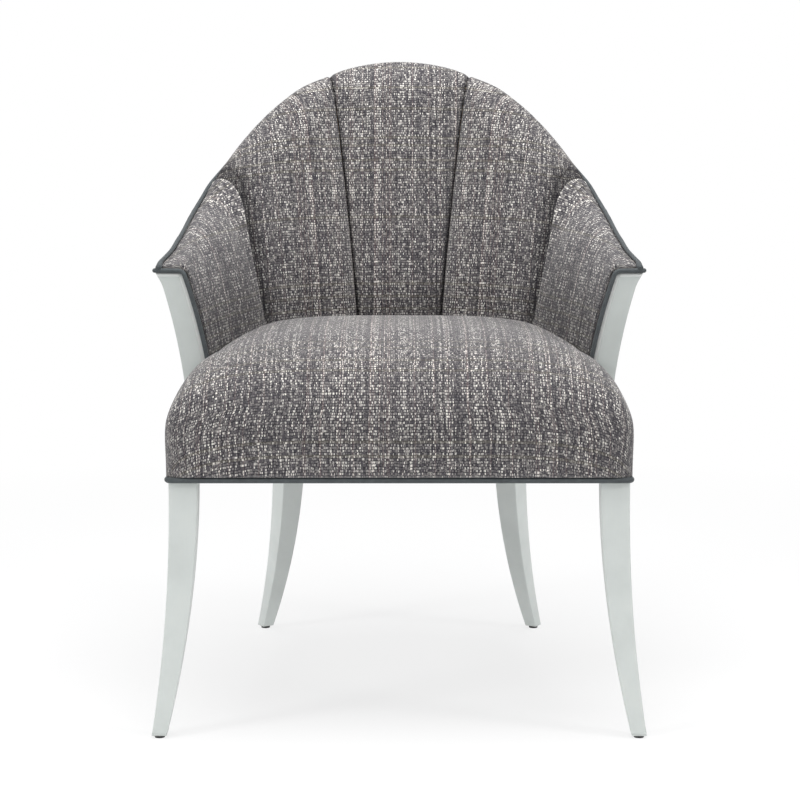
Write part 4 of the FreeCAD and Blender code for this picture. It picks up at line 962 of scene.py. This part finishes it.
half_plan = np.linspace(CORNER_END, 0.0, 90)
welt_out = 2.4
corner_x = FRONT_HALF_WIDTH + welt_out * (1 / math.cos(TAPER) + math.tan(TAPER))
front_y = -SEAT_WELT - GAP - MID_DEPTH
welt_z = RAIL_BOTTOM + SEAT_WELT
front_half = rounded(np.array([[0.0, front_y, welt_z], [corner_x, front_y, welt_z],
                               place(CORNER_END, welt_out, welt_z)]), 9.0, 4.0)
right_half = np.concatenate([front_half, place(half_plan[1:], welt_out, welt_z)])
left_half = handed(right_half[1:-1])[::-1]
cord("hem_welt", np.concatenate([right_half, left_half]), SEAT_WELT, UP, True, "seat_welt")

# Arm posts


def post_top():
    return float(top_height(POST_FRONT)) - TIP_DROP - 0.4


def post_out(z):
    lip = np.maximum((z - (post_top() - 22.0)) / 22.0, 0.0)
    return outer(POST_FRONT, z) + 5.0 * lip ** 2


def post_in(z):
    share = np.maximum((z - RAIL_TOP) / (post_top() - RAIL_TOP), 0.0)
    inner = outer(POST_FRONT, z) - POST_THICKNESS + 3.0 * share
    return np.where(z < RAIL_TOP, -12.0, inner)


def rounded_section(widths, depths, radii, arc_points=6, bevel=None):
    """Rectangle with its four corners turned on arcs, for rows of widths, depths and corner radii.
    Corners run from front inside to front outside, rear outside and rear inside. A bevel cuts the first
    corner flat, by its own size across and less in depth, in each row."""
    turn = np.linspace(0.0, math.pi / 2, arc_points)
    parts = []
    for k, (sx, sy) in enumerate(((-1, -1), (1, -1), (1, 1), (-1, 1))):
        radius = radii[:, k:k + 1]
        start = (math.pi, 1.5 * math.pi, 0.0, 0.5 * math.pi)[k]
        parts.append(np.stack([sx * (widths[:, None] / 2 - radius) + radius * np.cos(start + turn),
                               sy * (depths[:, None] / 2 - radius) + radius * np.sin(start + turn)], -1))
    if bevel is not None:
        near_edge = np.array([(0.0, 1.0, 0.6), (0.0, 1.0, 0.0), (0.12, 0.88, 0.0), (0.88, 0.12, 0.0),
                              (1.0, 0.0, 0.0), (1.0, 0.0, 0.0)])
        right = -widths[:, None] / 2 + bevel[:, None] * near_edge[:, 0] + np.array([0, 0, 0, 0, 0, 0.6])
        ahead = -depths[:, None] / 2 + 0.4 * bevel[:, None] * near_edge[:, 1] + near_edge[:, 2]
        parts[0] = np.stack([right, ahead], -1)
    return np.concatenate(parts, axis=1)


def arm_post():
    """Post: a rounded rectangle at each height, following the lean, with a lip and a bevelled top."""
    top = post_top()
    near_top = np.array([-5.5, -4.9, -4.4, -1.0, -0.4, 0.0])
    z = np.concatenate([np.linspace(RAIL_BOTTOM, RAIL_TOP - 1.0, 8), np.linspace(RAIL_TOP, top - 6.1, 60),
                        top + near_top])
    shrink = np.concatenate([np.zeros(len(z) - len(near_top)), [0.0, 0.1, 0.3, 1.8, 2.2, 3.2]])
    out, inner = post_out(z), post_in(z)
    widths = out - inner
    depths = POST_DEPTH - shrink
    radii = np.minimum(np.full((len(z), 4), 1.6), widths[:, None] / 2 - 0.2)
    bevel = np.minimum(mix(0.8, 5.4, smooth((z - 430.0) / 40.0)), widths / 3)
    section = rounded_section(widths, depths, radii, bevel=bevel)
    middle_out = ((out + inner) / 2)[:, None] + section[:, :, 0]
    back_from_front = (POST_DEPTH / 2 + shrink / 2)[:, None] + section[:, :, 1]
    x, y, angle = plan(POST_FRONT)
    forward = np.array([math.sin(TAPER), -math.cos(TAPER)])
    normal = np.array([math.sin(angle), math.cos(angle)])
    spot = (np.array([x, y - MID_DEPTH]) + normal * middle_out[..., None]
            - forward * back_from_front[..., None])
    return np.concatenate([spot, np.broadcast_to(z[:, None, None], spot.shape[:2] + (1,))], axis=-1)


for side, is_left in SIDES:
    grid = handed(arm_post(), is_left)
    piece = surface("post_" + side, grid, wrap_columns=True, caps=True)
    # The bevel above the seat and the top edge get a painted highlight
    edge_highlight = np.zeros(grid.shape[:2])
    edge_highlight[20:, 2:4] = 1.0
    edge_highlight[-4:] = 1.0
    mark(piece, "painted_edge_highlight", edge_highlight)
    finish_piece(piece, SHADED_POST_PAINT, "painted_wood", "arm_post_" + side)

    reach = FRONT_WELT + GAP
    heights = mix(PAD_FOOT, post_top() + reach, steps_of(40))
    down = place(POST_FRONT, post_in(heights) - reach, heights)
    lip_end = place(POST_FRONT, post_out(post_top()), post_top() + reach)
    corner = down[-1]
    path = np.concatenate([rounded(np.array([lip_end, corner, down[-6]]), 9.0, 3.0), down[:-7][::-1]])
    across = handed(np.array([math.sin(TAPER), -math.cos(TAPER), 0.0]), is_left)
    cord("post_welt_" + side, even(handed(path, is_left), 3.0), FRONT_WELT, across, False,
         "arm_front_welt_" + side)

# Legs


# The foot stands on its glide. The legs splay and kick out as parabolas.
FOOT = 4.0
FRONT_SPLAY = 35.0
FRONT_FOOT_WIDTH = 20.5
REAR_FOOT_WIDTH = 19.5
LEG_HEAD_WIDTH = 39.0
LEG_RADIUS = 1.8
REAR_STATION = 195.2
REAR_SWEEP = 86.0
REAR_STRAIGHT = 330.0
BACK_POST_WIDTH = 36.0
BACK_POST_DEPTH = 24.5


def leg_section(foot_width):
    """Share of the way down, height, width and rounded square section of a leg, foot first."""
    down = 1 - steps_of(70)
    width = mix(LEG_HEAD_WIDTH, foot_width, down ** 1.6)
    return down, mix(RAIL_BOTTOM, FOOT, down), width, rounded_section(
        width, width, np.full((len(down), 4), LEG_RADIUS))


def front_leg():
    """Sabre leg: a rounded square whose middle line is a parabola in height, sweeping out and forward. Above
    the rail's bottom a narrower head goes on inside the seat cover."""
    down, z, width, section = leg_section(FRONT_FOOT_WIDTH)
    share = down ** 2
    x = (FRONT_HALF_WIDTH - LEG_HEAD_WIDTH / 2 + FRONT_SPLAY * share)[:, None] + section[:, :, 0]
    y = (-FRONT_KICK * share + width / 2 - MID_DEPTH)[:, None] + section[:, :, 1]
    grid = np.stack([x, y, np.broadcast_to(z[:, None], x.shape)], -1)
    head = grid[-1:].repeat(3, axis=0)
    centre = head.mean(axis=1, keepdims=True)
    head[1:] = centre[1:] + (head[1:] - centre[1:]) * 0.72
    head[..., 2] = np.array([357.0, 359.0, RAIL_TOP])[:, None]
    return np.concatenate([grid, head])


def rear_leg():
    """The same, turned to the corner, and running on upward as the leaning back post, with a sloping top."""
    x, y, angle = plan(REAR_STATION)
    across, along = np.array([np.cos(angle), -np.sin(angle)]), np.array([np.sin(angle), np.cos(angle)])
    _, z, width, low = leg_section(REAR_FOOT_WIDTH)
    sweep = REAR_SWEEP * np.maximum((REAR_STRAIGHT - z) / REAR_STRAIGHT, 0.0) ** 2
    low_middle = sweep - (LEG_HEAD_WIDTH - width) / 2 - width / 2
    high = rounded_section(np.full(31, BACK_POST_WIDTH), np.full(31, BACK_POST_DEPTH),
                           np.full((31, 4), LEG_RADIUS))
    local = REAR_STATION + high[..., 0]
    limit = top_height(local) - shelf_drop(local) - 6.0
    high_z = mix(RAIL_BOTTOM + 10.0, limit, steps_of(31)[:, None])
    middle = np.concatenate([np.broadcast_to(low_middle[:, None], low.shape[:2]),
                             outer(REAR_STATION - BACK_POST_WIDTH / 2, high_z) - BACK_POST_DEPTH / 2]) - 1.5
    section = np.concatenate([low, high])
    spot = (np.array([x, y - MID_DEPTH]) + along * (middle[..., None] + section[..., 1:2])
            + across * section[..., 0:1])
    heights = np.concatenate([np.broadcast_to(z[:, None], low.shape[:2]), high_z])
    return np.concatenate([spot, heights[..., None]], axis=-1)


for side, is_left in SIDES:
    for name, grid, finish in (("front_leg_", front_leg(), PAINT), ("rear_leg_", rear_leg(), LIT_REAR_PAINT)):
        piece = surface("sabre_" + name + side, handed(grid, is_left), wrap_columns=True, caps=True)
        finish_piece(piece, finish, "painted_wood", name + side)

# Swelling of the padded pieces


FRAMES = 20
CLOTH = {"quality": 5, "mass": 0.3, "tension_stiffness": 25.0, "compression_stiffness": 25.0,
         "shear_stiffness": 12.0, "bending_stiffness": 2.0, "use_pressure": True,
         "uniform_pressure_force": 4.0, "vertex_group_mass": "held"}


def swell(pieces):
    """Cloth under pressure with its edges held. Each point then moves by no more than its piece's cap."""
    scene = bpy.context.scene
    before = {}
    for piece, free, _ in pieces:
        before[piece.name] = read_points(piece.data)
        held = piece.vertex_groups.new(name="held")
        held.add(np.nonzero(~free)[0].tolist(), 1.0, "REPLACE")
        cloth = piece.modifiers.new("swelling", "CLOTH")
        for key, value in CLOTH.items():
            setattr(cloth.settings, key, value)
        cloth.settings.effector_weights.gravity = 0.0
        cloth.point_cache.frame_start, cloth.point_cache.frame_end = 1, FRAMES
    scene.frame_start, scene.frame_end = 1, FRAMES
    for number in range(1, FRAMES + 1):
        scene.frame_set(number)
    graph = bpy.context.evaluated_depsgraph_get()
    for piece, _, cap in pieces:
        swollen = piece.evaluated_get(graph)
        start = before[piece.name]
        move = read_points(swollen.to_mesh()) - start
        size = np.linalg.norm(move, axis=1, keepdims=True)
        limit = cap * MM
        move = move / np.maximum(size, 1e-9) * (limit * np.tanh(size / limit))
        swollen.to_mesh_clear()
        piece.modifiers.clear()
        piece.vertex_groups.clear()
        piece.data.vertices.foreach_set("co", (start + move).astype(np.float32).ravel())
        piece.data.update()
    scene.frame_set(1)


swell(soft_pieces)

# The other nodes keep their solids and get their finish

slot_of = {part["node"]: part["material_slot"] for part in frame["record"]["subparts"]}
for node, part in frame["nodes"].items():
    objects = part if isinstance(part, (list, tuple)) else [part]
    for piece in objects:
        if getattr(piece, "data", None) is None:
            continue
        piece.data.materials.clear()
        piece.data.materials.append(BY_SLOT[slot_of[node]])

# Floor, light and camera

# Distance in metres at which the floor starts to turn plain white, and the share of it that each metre adds
FAR_START = 0.7
FAR_PACE = 0.8


def floor_material():
    """White floor. Camera, glossy and transmitted rays see extra brightness, and the shadow stays. Far out it
    is plain white to them."""
    n = Nodes("studio_floor")
    path = n.add("LightPath")
    seen = n.math("MAXIMUM", path.outputs["Is Camera Ray"], n.math(
        "MAXIMUM", path.outputs["Is Glossy Ray"], path.outputs["Is Transmission Ray"]))
    away = n.add("VectorMath", {0: n.object_place()}, operation="LENGTH").outputs["Value"]
    far = n.times(n.math("SUBTRACT", away, FAR_START), FAR_PACE, clamp=True)
    shown = n.math("SUBTRACT", 0.88, n.times(seen, 0.64))
    grey = n.add("CombineColor", {0: shown, 1: shown, 2: shown}).outputs[0]
    diffuse = n.add("BsdfDiffuse", {"Color": grey}).outputs[0]
    lift = n.plus(0.2, n.times(seen, 0.55))
    glow = n.add("Emission", {"Color": WHITE, "Strength": lift}).outputs[0]
    bright = n.add("Emission", {"Color": WHITE, "Strength": 1.0}).outputs[0]
    near_by = n.add("AddShader", {0: diffuse, 1: glow}).outputs[0]
    plain = n.add("MixShader", {0: seen, 1: diffuse, 2: bright}).outputs[0]
    return n.finish(n.add("MixShader", {0: far, 1: near_by, 2: plain}))


def floor():
    """Flat disc: rings of points at growing radii round the origin."""
    radii = np.concatenate([[0.001], np.linspace(200.0, 3000.0, 12), [9000.0, 30000.0]])
    turn = np.linspace(0.0, 2 * math.pi, 65)[:-1]
    grid = np.stack([radii[:, None] * np.cos(turn), radii[:, None] * np.sin(turn),
                     np.zeros((len(radii), 64))], -1)
    piece = surface("studio_floor", grid, wrap_columns=True)
    piece.data.materials.append(floor_material())


floor()

room_light = Nodes("studio", "worlds")
path = room_light.add("LightPath")
seen = room_light.math("MAXIMUM", path.outputs["Is Camera Ray"], path.outputs["Is Transmission Ray"])
room = room_light.add("Background", {"Color": (0.97, 0.98, 1.0, 1.0), "Strength": 0.36})
backdrop = room_light.add("Background", {"Color": WHITE, "Strength": 1.0})
bpy.context.scene.world = room_light.finish(room_light.add(
    "MixShader", {0: seen, 1: room.outputs[0], 2: backdrop.outputs[0]}))

# Lamps: name, place, height of the aim, width, power
LAMPS = (("left_lamp", (-2.2, -1.55, 1.75), 0.4, 0.7, 24.0),
         ("right_lamp", (2.3, -1.2, 1.75), 0.4, 0.7, 20.5),
         ("top_lamp", (0.0, -0.3, 2.7), 0.5, 2.0, 64.0))
for name, spot, aim, size, power in LAMPS:
    light = bpy.data.lights.new(name, "AREA")
    light.shape, light.size, light.energy = "DISK", size, power
    piece = bpy.data.objects.new(name, light)
    piece.location = spot
    piece.rotation_euler = (Vector((0.0, 0.0, aim)) - Vector(spot)).to_track_quat("-Z", "Y").to_euler()
    bpy.context.scene.collection.objects.link(piece)

# The photograph's view: sensor and focal length in millimetres, place in metres, tilt below the horizon
SENSOR = 36.0
LENS = 101.9
VIEW_FROM = (0.0009, -3.3315, 0.897)
TILT = math.radians(8.24)

view = bpy.data.cameras.new("photo_view")
view.sensor_width, view.lens = SENSOR, LENS
camera = bpy.data.objects.new("photo_view", view)
camera.location = VIEW_FROM
camera.rotation_euler = (math.pi / 2 - TILT, 0.0, 0.0)
bpy.context.scene.collection.objects.link(camera)
bpy.context.scene.camera = camera
bpy.context.scene.view_settings.view_transform = "Standard"
